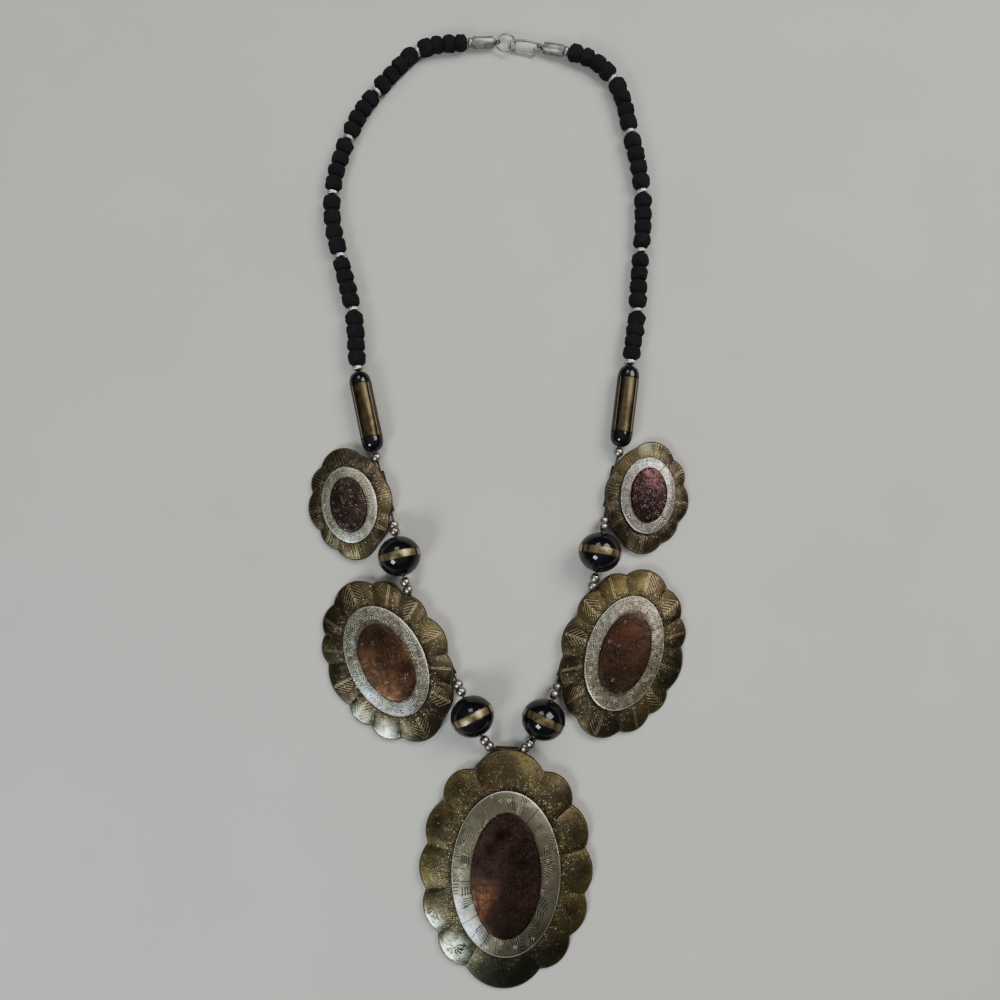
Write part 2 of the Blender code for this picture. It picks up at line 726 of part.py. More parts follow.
def string_up(placed, looks):
    """Beads, spacers and balls, each laid on its own stretch of the string."""
    shapes = {"spacer": spacer_mesh(), "ball": ball_mesh(), "pair": pair_mesh()}
    black, band = round_bead_mesh(), band_mesh()
    core, sleeve = tube_core_mesh(), sleeve_mesh()
    for item in placed:
        lay = along(item.start, item.end)
        if item.kind in shapes:
            add(item.name, shapes[item.kind], looks["bright_silver"], lay)
        elif item.kind == "round":
            add(item.name, black, looks["gloss_black"], lay)
            add(item.name.replace("round_bead", "band"), band, looks["polished_brass"], lay)
        elif item.kind == "tube":
            add(item.name, core, looks["gloss_black"], lay)
            add(item.name.replace("bead", "sleeve"), sleeve, looks["polished_brass"], lay)
        elif item.kind == "plaque":
            plaque(item.name, item, looks)


def strands(placed, looks):
    """The two rough-bead strands, each from its ferrule into its tube bead."""
    for side in ("left", "right"):
        beads = [p for p in placed if p.kind == "rough" and p.name.startswith(side)]
        spacers = [p for p in placed if p.kind == "spacer" and p.name.startswith(side)]
        tube = next(p for p in placed if p.name == f"{side}_tube_bead")
        if side == "right":
            beads = [p._replace(start=p.end, end=p.start) for p in reversed(beads)]
            spacers = [p._replace(start=p.end, end=p.start) for p in reversed(spacers)]
            tube = tube._replace(start=tube.end, end=tube.start)
        inside = tube.start.lerp(tube.end, 0.4)
        rough_strand(f"{side}_bead_strand", beads, spacers, inside, looks["rough_black"])


def lower_thread(placed, looks):
    """Thread from inside the left tube bead, along the bib, into the right one."""
    kinds = {"ball", "plaque", "pair", "round"}
    tubes = {p.name: p for p in placed if p.kind == "tube"}
    left, right = tubes["left_tube_bead"], tubes["right_tube_bead"]
    path = [left.start.lerp(left.end, 0.6)]
    for item in placed:
        if item.kind in kinds:
            path.append(item.start)
    path += [right.start, right.start.lerp(right.end, 0.4)]
    add("lower_thread", swept("lower_thread", path, THREAD_R, FACETS.wire), looks["thread"])


def center_on_origin():
    """Hangs all pieces on one empty and moves it: box centre at X = Y = 0, base at Z = 0."""
    bpy.context.view_layer.update()
    pieces = list(bpy.context.scene.objects)
    corners = [piece.matrix_world @ v.co for piece in pieces for v in piece.data.vertices]
    low = Vector([min(c[i] for c in corners) for i in range(3)])
    high = Vector([max(c[i] for c in corners) for i in range(3)])
    root = bpy.data.objects.new("necklace", None)
    bpy.context.scene.collection.objects.link(root)
    for piece in pieces:
        piece.parent = root
    root.location = (-(low.x + high.x) / 2, -(low.y + high.y) / 2, -low.z)
    print("size in mm:", [round((high[i] - low[i]) / MM, 2) for i in range(3)])


def main():
    for old in list(bpy.data.objects):
        bpy.data.objects.remove(old)
    looks = make_materials()
    placed = place_items(loop_items())
    string_up(placed, looks)
    strands(placed, looks)
    lower_thread(placed, looks)
    clasp({p.name: p for p in placed}, looks)
    center_on_origin()


main()
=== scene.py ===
# %% [markdown]
# # A bib necklace, lying flat
#
# The solids of this necklace are already made and packed: they say where every bead,
# plaque and wire lies. This lesson gives them their looks. Each solid is a plain,
# faceted body, so most of them are replaced here by a finer mesh in the same place,
# with a finish built out of shader nodes. Lengths are typed in millimetres and turned
# into metres when a mesh is made.

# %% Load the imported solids
import math
from collections import namedtuple

import bmesh
import bpy
import numpy as np
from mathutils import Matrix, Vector, noise


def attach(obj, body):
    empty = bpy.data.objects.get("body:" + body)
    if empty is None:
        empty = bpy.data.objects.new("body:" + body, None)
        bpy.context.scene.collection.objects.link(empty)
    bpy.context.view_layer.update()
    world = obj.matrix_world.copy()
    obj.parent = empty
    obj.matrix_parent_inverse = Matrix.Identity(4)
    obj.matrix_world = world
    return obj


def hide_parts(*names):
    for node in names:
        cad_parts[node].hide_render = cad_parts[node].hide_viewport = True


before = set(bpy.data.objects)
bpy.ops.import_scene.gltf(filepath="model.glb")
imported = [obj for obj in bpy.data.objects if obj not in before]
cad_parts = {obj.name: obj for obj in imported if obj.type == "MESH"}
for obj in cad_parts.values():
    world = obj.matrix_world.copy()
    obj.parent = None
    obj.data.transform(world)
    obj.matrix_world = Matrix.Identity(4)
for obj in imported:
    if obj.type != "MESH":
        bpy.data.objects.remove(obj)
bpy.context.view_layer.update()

MM = 0.001
print("solids:", len(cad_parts))

# %% [markdown]
# ## Where a piece lies
#
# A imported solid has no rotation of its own: its place is in its vertices. A turned
# bead looks the same all round its hole, so the spread of its vertices is equal in two
# directions and different along the hole. The eigenvectors of that spread give the
# hole's line back, with no number typed in.

# %% Read a node's own axes from its vertices
Place = namedtuple("Place", "middle axis side up length radius")


def points_of(node):
    """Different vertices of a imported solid, in millimetres."""
    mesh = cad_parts[node].data
    flat = np.zeros(len(mesh.vertices) * 3)
    mesh.vertices.foreach_get("co", flat)
    return np.unique(np.round(flat.reshape(-1, 3) / MM, 4), axis=0)


def upright(axis):
    """Axis, a level side and an up direction, as three unit vectors."""
    axis = axis / np.linalg.norm(axis)
    side = np.cross((0, 0, 1), axis)
    side /= np.linalg.norm(side)
    return axis, side, np.cross(axis, side)


def place_on(points, axis):
    """Middle and size of a turned solid whose axis is known."""
    axis, side, up = upright(axis)
    middle = points.mean(axis=0)
    reach = (points - middle) @ axis
    middle = middle + axis * (reach.max() + reach.min()) / 2
    off = points - middle
    radius = np.linalg.norm(off - np.outer(off @ axis, axis), axis=1).max()
    return Place(middle, axis, side, up, reach.max() - reach.min(), radius)


def turned_place(points, heading=None):
    """Middle, axis and size of a turned solid, from its vertices alone."""
    spread, vectors = np.linalg.eigh(np.cov(points.T))
    lone = 2 if spread[2] - spread[1] > spread[1] - spread[0] else 0
    axis = vectors[:, lone]
    if heading is not None and axis @ heading < 0:
        axis = -axis
    return place_on(points, axis)


bead = turned_place(points_of("left_upper_round_bead"))
print("a round bead lies at", np.round(bead.middle, 1), "and is",
      round(bead.length, 1), "mm long")

# %% [markdown]
# ## Shader maths as plain expressions
#
# A finish is a sum of masks: where the hatching is, where the dirt sits, where the
# edge is rubbed. Wiring each Math node by hand hides that. A small class wraps a
# socket and turns `a * b + 1` into the nodes that it means, so the finishes below can
# be read as formulas. Colours and vectors go through Mix and Vector Math nodes.

# %% A socket that does arithmetic
class Wire:
    """A socket of a node tree; arithmetic on it adds Math nodes."""

    def __init__(self, tree, socket):
        self.tree, self.socket = tree, socket

    def math(self, operation, *values):
        return add_node(self.tree, "ShaderNodeMath", {"operation": operation},
                        dict(enumerate(values)))

    def __add__(self, other):
        return self.math("ADD", self, other)

    def __sub__(self, other):
        return self.math("SUBTRACT", self, other)

    def __rsub__(self, other):
        return self.math("SUBTRACT", other, self)

    def __mul__(self, other):
        return self.math("MULTIPLY", self, other)

    def __truediv__(self, other):
        return self.math("DIVIDE", self, other)

    def __pow__(self, other):
        return self.math("POWER", self, other)

    def __abs__(self):
        return self.math("ABSOLUTE", self)

    def __lt__(self, other):
        return self.math("LESS_THAN", self, other)

    def __gt__(self, other):
        return self.math("GREATER_THAN", self, other)

    def __mod__(self, other):
        return self.math("FLOORED_MODULO", self, other)

    __radd__ = __add__
    __rmul__ = __mul__


def add_node(tree, kind, settings=None, values=None, out=0):
    """Adds a node: its settings first, then its sockets. Returns one of its outputs."""
    node = tree.nodes.new(kind)
    for name, setting in (settings or {}).items():
        if name == "stops":
            ramp = node.color_ramp
            while len(ramp.elements) < len(setting):
                ramp.elements.new(1.0)
            for element, (place, shade) in zip(ramp.elements, setting):
                element.position = place
                element.color = (*shade, 1.0)
        else:
            setattr(node, name, setting)
    for name, value in (values or {}).items():
        if isinstance(value, Wire):
            tree.links.new(value.socket, node.inputs[name])
        else:
            node.inputs[name].default_value = value
    return Wire(tree, node.outputs[out])


# %% [markdown]
# Every finish starts the same way: a Principled shader, the place of the point in
# millimetres, and a few helpers for noise, for blending colours and for the fine
# relief that is too small for the mesh.

# %% The start of a finish
class Finish:
    """A material under construction."""

    def __init__(self, name, metallic, roughness, specular=0.5):
        self.material = bpy.data.materials.new(name)
        self.material.use_nodes = True
        self.tree = self.material.node_tree
        self.shader = self.tree.nodes["Principled BSDF"]
        self.shader.inputs["Metallic"].default_value = metallic
        self.shader.inputs["Roughness"].default_value = roughness
        self.shader.inputs["Specular IOR Level"].default_value = specular
        place = self.node("ShaderNodeTexCoord", out="Object")
        self.place = self.node("ShaderNodeVectorMath", {"operation": "SCALE"},
                               {"Vector": place, "Scale": 1 / MM})

    def node(self, kind, settings=None, values=None, out=0):
        return add_node(self.tree, kind, settings, values, out)

    def noise(self, scale, detail=3.0, where=None, roughness=0.55):
        """Smooth noise between 0 and 1, about one wave per 1/scale mm."""
        return self.node("ShaderNodeTexNoise", {},
                         {"Vector": where or self.place, "Scale": scale, "Detail": detail,
                          "Roughness": roughness})

    def moved(self, where, offset):
        """A place shifted by three lengths, so that a pattern is read elsewhere."""
        return self.node("ShaderNodeVectorMath", {"operation": "ADD"}, {0: where, 1: offset})

    def stretched(self, where, shares):
        """A place scaled along each axis, so that a pattern is drawn out."""
        return self.node("ShaderNodeVectorMath", {"operation": "MULTIPLY"}, {0: where, 1: shares})

    def first_two(self, vector):
        """The first two coordinates of a vector."""
        outputs = self.node("ShaderNodeSeparateXYZ", {}, {0: vector}).socket.node.outputs
        return Wire(self.tree, outputs[0]), Wire(self.tree, outputs[1])

    def uv(self, name):
        """The two coordinates of a UV map, in the units that the mesh gave them."""
        both = self.node("ShaderNodeUVMap", {"uv_map": name})
        return *self.first_two(both), both

    def stored(self, name):
        """A number that the mesh keeps for each vertex."""
        return self.node("ShaderNodeAttribute", {"attribute_name": name}, out=2)

    def level(self, value, low, high, to_low=0.0, to_high=1.0):
        """Maps low..high of a value to to_low..to_high, smoothly, and stops there."""
        return self.node("ShaderNodeMapRange", {"interpolation_type": "SMOOTHSTEP"},
                         {"Value": value, "From Min": low, "From Max": high,
                          "To Min": to_low, "To Max": to_high})

    def near(self, value, full, gone):
        """1 where a value is under full, smoothly down to 0 where it is over gone."""
        return self.level(value, full, gone, 1.0, 0.0)

    def blend(self, mask, first, second):
        """Colour that goes from the first to the second where the mask is 1."""
        first, second = (shade if isinstance(shade, Wire) else (*shade, 1.0)
                         for shade in (first, second))
        return self.node("ShaderNodeMix", {"data_type": "RGBA"},
                         {0: mask, 6: first, 7: second}, out=2)

    def coats(self, colour, *layers):
        """Lays colours over one another; each layer is (where, its colour)."""
        for mask, shade in layers:
            colour = self.blend(mask, colour, shade)
        return colour

    def set(self, name, value):
        """Links a value to one of the shader's own sockets."""
        self.tree.links.new(value.socket, self.shader.inputs[name])

    def relief(self, height, depth_mm, strength=1.0):
        """Fine relief from a height between 0 and 1."""
        bump = self.node("ShaderNodeBump", {},
                         {"Height": height, "Distance": depth_mm * MM, "Strength": strength},
                         out="Normal")
        self.set("Normal", bump)


def times(colour, share):
    """A colour made lighter or darker."""
    return tuple(channel * share for channel in colour)


print("half of a warm grey:", times((0.30, 0.28, 0.26), 0.5))

# %% [markdown]
# ## From rings of points to a mesh
#
# Beads, plaques and ovals are all the same kind of surface: rings of points, each
# joined to the next. One helper builds them, with smooth shading that stops at real
# edges and a UV map that carries lengths in millimetres, which the engraving needs.

# %% Build a mesh out of rings
NO_PLACE = -9.0


def ring_mesh(name, rings, uv_start, uv_end, closed=False, uv_name="place", sharp=38):
    """Mesh from an array of rings, points and x y z, in mm; closed joins last to first.

    uv_start and uv_end hold each quad's values on its first and its second side. The
    flat ends of an open mesh get the value NO_PLACE there.
    """
    rows, columns = rings.shape[:2]
    count = rows if closed else rows - 1
    r, c = np.meshgrid(np.arange(count), np.arange(columns), indexing="ij")
    r, c = r.ravel(), c.ravel()
    below, beside = (r + 1) % rows, (c + 1) % columns
    quads = np.stack([r * columns + c, r * columns + beside,
                      below * columns + beside, below * columns + c], axis=1)
    faces = quads.tolist()
    if not closed:
        faces.append(list(range(columns))[::-1])
        faces.append([(rows - 1) * columns + k for k in range(columns)])
    mesh = bpy.data.meshes.new(name)
    mesh.from_pydata((rings.reshape(-1, 3) * MM).tolist(), [], faces)
    corners = np.stack([uv_start[r, c], uv_end[r, c], uv_end[below, c], uv_start[below, c]],
                       axis=1).reshape(-1, 2)
    flat = np.full((len(mesh.loops), 2), NO_PLACE)
    flat[:len(corners)] = corners
    mesh.uv_layers.new(name=uv_name).data.foreach_set("uv", flat.ravel())
    mesh.shade_smooth()
    mesh.set_sharp_from_angle(angle=math.radians(sharp))
    mesh.validate()
    return mesh


def flow(values, columns):
    """UV arrays of a plain ring surface: the turn goes 0 to 1, the other value is given."""
    turn = np.arange(columns) / columns
    rows = np.asarray(values, float)[:, None] + np.zeros(columns)
    start = np.stack([turn + np.zeros_like(rows), rows], axis=2)
    end = np.stack([turn + 1 / columns + np.zeros_like(rows), rows], axis=2)
    return start, end


corner_square = np.array([[(x, y, z) for x, y in ((0, 0), (1, 0), (1, 1), (0, 1))]
                          for z in (0, 1)], float)
print("a cube from two rings of four:",
      len(ring_mesh("trial", corner_square, *flow((0, 1), 4)).polygons), "faces")
bpy.data.meshes.remove(bpy.data.meshes["trial"])

# %% [markdown]
# A finished piece rides on the part's one body, and it says which imported solids it
# stands for. Its faces are turned outwards first.

# %% Hand a mesh over as a finished piece
made = []


def facing_out(mesh):
    """Turns the faces of a closed mesh outwards."""
    bm = bmesh.new()
    bm.from_mesh(mesh)
    bmesh.ops.recalc_face_normals(bm, faces=bm.faces)
    bm.to_mesh(mesh)
    bm.free()


def piece(name, mesh, finish, slot, *nodes):
    """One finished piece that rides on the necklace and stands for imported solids."""
    facing_out(mesh)
    mesh.materials.append(finish)
    thing = bpy.data.objects.new(name, mesh)
    bpy.context.scene.collection.objects.link(thing)
    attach(thing, "root")
    if nodes:
        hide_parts(*nodes)
    made.append(len(mesh.polygons))


# %% [markdown]
# ## Turned pieces
#
# Beads and bands come off a lathe: a profile turned about the hole. The profile runs
# along the outside and back through the hole, so that the piece is closed and a
# thread could really pass.

# %% Turn a profile about a place's axis
def turned(place, profile, columns, wobble=None):
    """Closed turned mesh; profile rows are (distance along the axis, radius) in mm."""
    profile = np.asarray(profile, float)
    angle = 2 * np.pi * np.arange(columns) / columns
    x = profile[:, 0][:, None] + np.zeros(columns)
    r = profile[:, 1][:, None] * (1 if wobble is None else wobble(profile, angle))
    rings = (place.middle + x[..., None] * place.axis
             + (r * np.sin(angle))[..., None] * place.side
             + (r * np.cos(angle))[..., None] * place.up)
    start, end = flow(profile[:, 0], columns)
    return ring_mesh("turned", rings, start, end, closed=True)


def curve_profile(reach, radius, power, start, steps):
    """Rounded outline from -reach to reach; a power over 2 makes the ends blunter."""
    turn = np.linspace(-start, start, steps)
    x = reach * np.sign(turn) * np.abs(np.sin(turn)) ** (2 / power)
    r = radius * np.abs(np.cos(turn)) ** (2 / power)
    return np.stack([x, r], axis=1)


BORE = 0.6
print("half a turn of outline reaches from", curve_profile(1.45, 1.45, 2, 1.15, 20)[0].round(2),
      "to", curve_profile(1.45, 1.45, 2, 1.15, 20)[-1].round(2))

# %% [markdown]
# ## Finishes of the beads
#
# Polished metal is never one grey: a film of tarnish gathers in it, and fine scratches
# spread its reflections. Two noises do this for the small silver: a slow one drives the
# film, and a fine one the scratches.

# %% Bright silver, for the balls and the spacers
def small_silver(name, clean, tarnished, roughness):
    """Silver plate of a small turned piece, with a film of tarnish."""
    f = Finish(name, 1.0, 0.2)
    film = f.level(f.noise(0.55, 4), 0.40, 0.68)
    grain = f.noise(6, 2)
    f.set("Base Color", f.blend(film, clean, tarnished))
    f.set("Roughness", film * 0.16 + grain * 0.12 + roughness)
    f.relief(grain, 0.03, 0.5)
    return f.material


ball_silver = small_silver("ball_silver", clean=(0.42, 0.39, 0.35),
                           tarnished=(0.15, 0.13, 0.11), roughness=0.16)
spacer_silver = small_silver("spacer_silver", clean=(0.52, 0.51, 0.50),
                             tarnished=(0.26, 0.255, 0.25), roughness=0.28)
print("silvers:", ball_silver.name, spacer_silver.name)

# %% [markdown]
# The bands and sleeves are brass sheet, rolled, soldered and rubbed along their length,
# so their noise is stretched that way by scaling the UV map before it is read. The
# streaks, paler worn places, stains and a painted reflection, a dark line with a light
# one beside it on each side of the top, are laid on one another as coats, and dirt
# gathers where the sheet ends.

# %% Polished brass, for the bands and the sleeves
def rubbed_brass(name, low, high, around, along, edge, reflection_turn):
    """Brass with streaks; around and along stretch them, edge is where dirt starts.

    The last argument is where painted dark reflection lines run, as a share of a turn to each side
    of the top.
    """
    f = Finish(name, 1.0, 0.25, 0.3)
    turn, length, both = f.uv("place")
    streak = f.noise(1.0, 4, f.stretched(both, (around, along, 1.0)), 0.65)
    worn = f.level(f.noise(0.45, 3), 0.38, 0.66)
    stain = f.level(f.noise(0.9, 4), 0.54, 0.70)
    from_top = abs((turn + 0.5) % 1.0 - 0.5)
    # painted reflection: a dark line and a light one beside it, at a fixed turn each side of the
    # top
    painted_dark_streak = f.near(abs(from_top - reflection_turn), 0.006, 0.018)
    painted_light_streak = f.near(abs(from_top - reflection_turn - 0.030), 0.003, 0.012)
    dirt = f.level(abs(length), edge - 0.35, edge)
    f.set("Base Color", f.coats(low,
                                (f.level(streak, 0.36, 0.66), high),
                                (worn * 0.5, times(high, 1.35)),
                                (stain * 0.6, (0.10, 0.065, 0.04)),
                                (painted_light_streak * 0.6, (0.62, 0.58, 0.44)),
                                (dirt * 0.85 + painted_dark_streak * 0.85, (0.022, 0.016, 0.010))))
    f.set("Roughness", streak * 0.25 + stain * 0.20 + 0.24)
    f.relief(streak * 0.6 - painted_dark_streak * 0.4 - stain * 0.2, 0.03, 0.7)
    return f.material


band_brass = rubbed_brass("band_brass", (0.09, 0.068, 0.036), (0.24, 0.20, 0.115),
                          around=26.0, along=0.5, edge=1.12, reflection_turn=0.16)
sleeve_brass = rubbed_brass("sleeve_brass", (0.024, 0.018, 0.010), (0.066, 0.053, 0.029),
                            around=9.0, along=0.05, edge=8.05, reflection_turn=0.105)
tube_brass = rubbed_brass("tube_brass", (0.030, 0.023, 0.013), (0.075, 0.058, 0.030),
                          around=6.0, along=0.3, edge=12.0, reflection_turn=0.4)
print("brasses:", band_brass.name, sleeve_brass.name, tube_brass.name)

# %% [markdown]
# The round beads look like glass, so theirs is a nearly black, smooth surface. Smears
# of fingers hardly change its colour, and show in its roughness.

# %% Gloss black, for the round beads and the cores of the tube beads
gloss = Finish("gloss_black", 0.0, 0.07, 0.32)
smear = gloss.level(gloss.noise(0.35, 4), 0.45, 0.75)
gloss.set("Base Color", gloss.blend(smear, (0.002, 0.002, 0.003), (0.006, 0.006, 0.007)))
gloss.set("Roughness", smear * 0.12 + 0.045)
gloss.relief(gloss.noise(1.2, 2), 0.02, 0.25)
print("gloss black:", len(gloss.tree.nodes), "nodes")

# %% [markdown]
# The rough beads are the opposite: they hardly reflect. Dust makes them grey in places,
# and a fine noise in the bump is their pores, which are too small for the mesh.

# %% Rough black, for the strand beads
rough = Finish("rough_black", 0.0, 0.92, 0.25)
pore = rough.noise(3.4, 5, roughness=0.7)
dust = rough.level(rough.noise(5.5, 2), 0.60, 0.74)
cloud = rough.level(rough.noise(0.3, 2), 0.35, 0.7)
rough.set("Base Color", rough.blend(dust * 0.45 + cloud * 0.15, (0.0012, 0.0012, 0.0018),
                                    (0.020, 0.020, 0.025)))
rough.set("Roughness", 0.98 - dust * 0.2)
rough.relief(pore, 0.16, 0.9)
print("rough black:", len(rough.tree.nodes), "nodes")

# %% [markdown]
# The clasp's plating has dulled, and the tool that turned it left fine rings, so its
# noise is squeezed along the length. The thread is twisted, and a slanting wave is
# enough to say so on a thing 0.6 mm thick.

# %% Nickel and thread
nickel = Finish("nickel", 1.0, 0.3)
lathe_lines = nickel.noise(1.0, 3, nickel.stretched(nickel.uv("place")[2], (2.0, 9.0, 1.0)))
dull = nickel.level(nickel.noise(0.45, 4), 0.35, 0.7)
nickel.set("Base Color", nickel.blend(dull, (0.29, 0.28, 0.27), (0.13, 0.125, 0.12)))
nickel.set("Roughness", lathe_lines * 0.20 + dull * 0.18 + 0.34)
nickel.relief(lathe_lines, 0.03, 0.6)

twine = Finish("thread", 0.0, 0.8)
strand_wave = twine.node("ShaderNodeTexWave",
                         {"wave_type": "BANDS", "bands_direction": "DIAGONAL"},
                         {"Vector": twine.place, "Scale": 1.6, "Distortion": 0.6})
twine.set("Base Color", twine.blend(strand_wave, (0.012, 0.011, 0.011), (0.06, 0.055, 0.05)))
twine.relief(strand_wave, 0.08, 0.8)
print("finishes so far:", len(bpy.data.materials))

# %% [markdown]
# ## Silver balls and spacers
#
# The balls are plain drilled spheres, and most hang in pairs that touch. A pair is one
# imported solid, so its two outlines are turned about the same line.

# %% Balls
def nodes_called(word):
    """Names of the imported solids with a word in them."""
    return sorted(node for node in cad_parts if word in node)


for node in nodes_called("ball"):
    here = turned_place(points_of(node))
    radius = here.radius
    centers = (-radius, radius) if "pair" in node else (0.0,)
    start = math.acos(BORE / radius)
    profile = np.concatenate([curve_profile(radius, radius, 2, start, 22) + (center, 0)
                              for center in centers])
    piece(f"{node}_polished", turned(here, profile, 40), ball_silver, "bright_silver", node)
print("balls and pairs:", len(made))

# %% [markdown]
# The spacers are thin rondelles whose rim is notched all round, as beads of this sort
# are rolled from corrugated sheet. A wobble on the radius makes the notches.

# %% Spacers
FLUTES = 14


def fluted(profile, angle):
    """Notches round the rim, deepest where the radius is largest."""
    share = (profile[:, 1] / profile[:, 1].max()) ** 6
    return 1 - 0.055 * share[:, None] * (0.5 - 0.5 * np.cos(FLUTES * angle)) ** 2


for node in nodes_called("spacer"):
    here = turned_place(points_of(node))
    outline = curve_profile(here.length / 2, here.radius, 3.2, 1.44, 20)
    outline[:, 1] = np.maximum(outline[:, 1], BORE)
    piece(f"{node}_notched", turned(here, outline, FLUTES * 8, fluted), spacer_silver,
          "bright_silver", node)
print("silver pieces:", len(made))

# %% [markdown]
# ## Round beads and tube beads
#
# A round bead is a black ball with a groove at its equator, and a brass band sits in
# the groove, level with the black. The outline follows the solid, with the corners
# rounded a little, and only its right half is worked out.

# %% Round beads and their bands
ROUND_R = 6.0
BAND_HALF = 1.15
BAND_DEEP = 0.5
BAND_SWELL = 7.6
GAP = 0.06


def mirrored(right):
    """A whole outline from its right half."""
    return [(-x, r) for x, r in reversed(right)] + right


def ball_half(half_length, steps=26):
    """Right half of a grooved bead's outline, from the groove to the hole."""
    groove = BAND_HALF + GAP
    x = groove + (half_length - groove) * np.linspace(0, 1, steps) ** 0.75
    r = ROUND_R * np.sqrt(np.clip(1 - (x / half_length) ** 2, 0, 1))
    keep = r > BORE + 0.15
    rim = [(half_length - 0.02, BORE + 0.1), (half_length - 0.12, BORE)]
    return [(groove, ROUND_R - BAND_DEEP), *zip(x[keep], r[keep]), *rim]


for node in nodes_called("round_bead"):
    here = turned_place(points_of(node))
    profile = mirrored(ball_half(here.length / 2))
    piece(f"{node}_glass", turned(here, profile, 72), gloss.material, "gloss_black", node)
    outside = [(x, ROUND_R * math.sqrt(1 - (x / BAND_SWELL) ** 2) - 0.02 * (abs(x) > 1.0))
               for x in np.linspace(-BAND_HALF, BAND_HALF, 12)]
    ring = [(-BAND_HALF, ROUND_R - BAND_DEEP), *outside, (BAND_HALF, ROUND_R - BAND_DEEP)]
    band = node.replace("round_bead", "band")
    piece(f"{band}_brass", turned(here, ring, 96), band_brass, "polished_brass", band)
print("round beads are", 2 * ROUND_R, "mm across; pieces:", len(made))

# %% [markdown]
# A tube bead is a black rod whose ends taper like a bullet. A thin brass sleeve covers
# its middle, and the core is hidden there, so its outline jumps from end to end.

# %% Tube beads and their sleeves
TUBE_R = 3.15
TUBE_END_R = 1.3
SLEEVE_HALF = 8.1
SLEEVE_T = 0.35
for node in nodes_called("tube_bead"):
    here = turned_place(points_of(node))
    half = here.length / 2
    right = [(SLEEVE_HALF + GAP, TUBE_R - SLEEVE_T - 0.1), (SLEEVE_HALF + GAP, TUBE_R - 0.05)]
    right += [(SLEEVE_HALF + 0.12 + (half - 0.3 - SLEEVE_HALF) * t,
               TUBE_END_R + (TUBE_R - TUBE_END_R) * (1 - t ** 2.8) ** 0.68)
              for t in np.linspace(0, 1, 18)]
    right += [(half, 1.05), (half, BORE + 0.1), (half - 0.15, BORE)]
    profile = mirrored(right)
    piece(f"{node}_core", turned(here, profile, 64), gloss.material, "gloss_black", node)
    wall = [(-SLEEVE_HALF, TUBE_R - SLEEVE_T), (-SLEEVE_HALF, TUBE_R - 0.06),
            (-SLEEVE_HALF + 0.06, TUBE_R)]
    wall += [(x, TUBE_R) for x in np.linspace(-SLEEVE_HALF + 0.3, SLEEVE_HALF - 0.3, 12)]
    wall += [(-x, r) for x, r in reversed(wall[:3])]
    sleeve = node.replace("bead", "sleeve")
    piece(f"{sleeve}_brass", turned(here, wall, 96), sleeve_brass, "polished_brass", sleeve)
print("pieces:", len(made))

# %% [markdown]
# ## The strands of rough beads
#
# These beads are a porous black stone or paste, cut as thick rondelles and never two
# alike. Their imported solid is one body, so the beads have to be found in it again:
# each vertex of a thick ring belongs to the nearest bead, each bead sits at the middle
# of its vertices, and a few turns of this settle down. Then every bead is turned on
# its own axis, and its surface is pushed in and out by noise.

# %% Find the beads of a strand
GROUP = 4
BELT_REACH = (1.8, 3.2)
BELT_SHARE, BELT_R_SHARE = 0.42, 0.96


def stations(side):
    """Places where a strand's groups begin and end: ferrule, spacers, tube bead."""
    count = sum(node.startswith(f"{side}_spacer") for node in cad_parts)
    spacers = [turned_place(points_of(f"{side}_spacer_{k}")) for k in range(1, count + 1)]
    ferrule = turned_place(points_of(f"{side}_ferrule"))
    to_beads = spacers[0].middle - ferrule.middle
    end = ferrule.axis if ferrule.axis @ to_beads > 0 else -ferrule.axis
    return ferrule.middle + end * ferrule.length / 2, spacers


def guesses(start, spacers):
    """First guess of each bead's middle: four shares of the way between two stations."""
    marks = [start] + [s.middle for s in spacers]
    return np.array([a + (b - a) * (k + 0.75) / (GROUP + 0.5)
                     for a, b in zip(marks, marks[1:]) for k in range(GROUP)])


def settle(points, middles, ends, turns=8):
    """Moves each middle to the centre of the belt nearest to it, then measures.

    A bead's belt is the two thickest rings of its solid. No other part is as far from
    the axis as BELT_REACH says, so neither thread nor rounded ends get in the way.
    """
    for _ in range(turns):
        line = np.concatenate([ends[:1], middles, ends[1:]])
        nearest = np.linalg.norm(points[:, None] - middles[None], axis=2).argmin(axis=1)
        belts = []
        for k, middle in enumerate(middles):
            tangent = (line[k + 2] - line[k]) / np.linalg.norm(line[k + 2] - line[k])
            off = points - middle
            out = np.linalg.norm(off - np.outer(off @ tangent, tangent), axis=1)
            on_belt = (out > BELT_REACH[0]) & (out < BELT_REACH[1])
            belts.append(place_on(points[(nearest == k) & on_belt], tangent))
        middles = np.array([belt.middle for belt in belts])
    return [belt._replace(length=belt.length / BELT_SHARE, radius=belt.radius / BELT_R_SHARE)
            for belt in belts]


found = {}
for side in ("left", "right"):
    start, spacers = stations(side)
    ends = [start, spacers[-1].middle]
    beads = settle(points_of(f"{side}_bead_strand"), guesses(start, spacers), ends)
    found[side] = beads
    print(side, "beads:", len(beads), "lengths", sorted({round(b.length, 1) for b in beads}))

# %% [markdown]
# Each bead gets noise of its own: a slow one for the lump that it is, and a quicker
# one, cut off above, for the dents. It fades towards the hole, and no vertex goes
# below the surface that the necklace lies on.

# %% Shape the rough beads
REST_Z = 0.02
STONE_COLUMNS = 44
LUMP, DENT, DENT_TOP, SINK = 0.30, 0.26, 0.15, 0.04


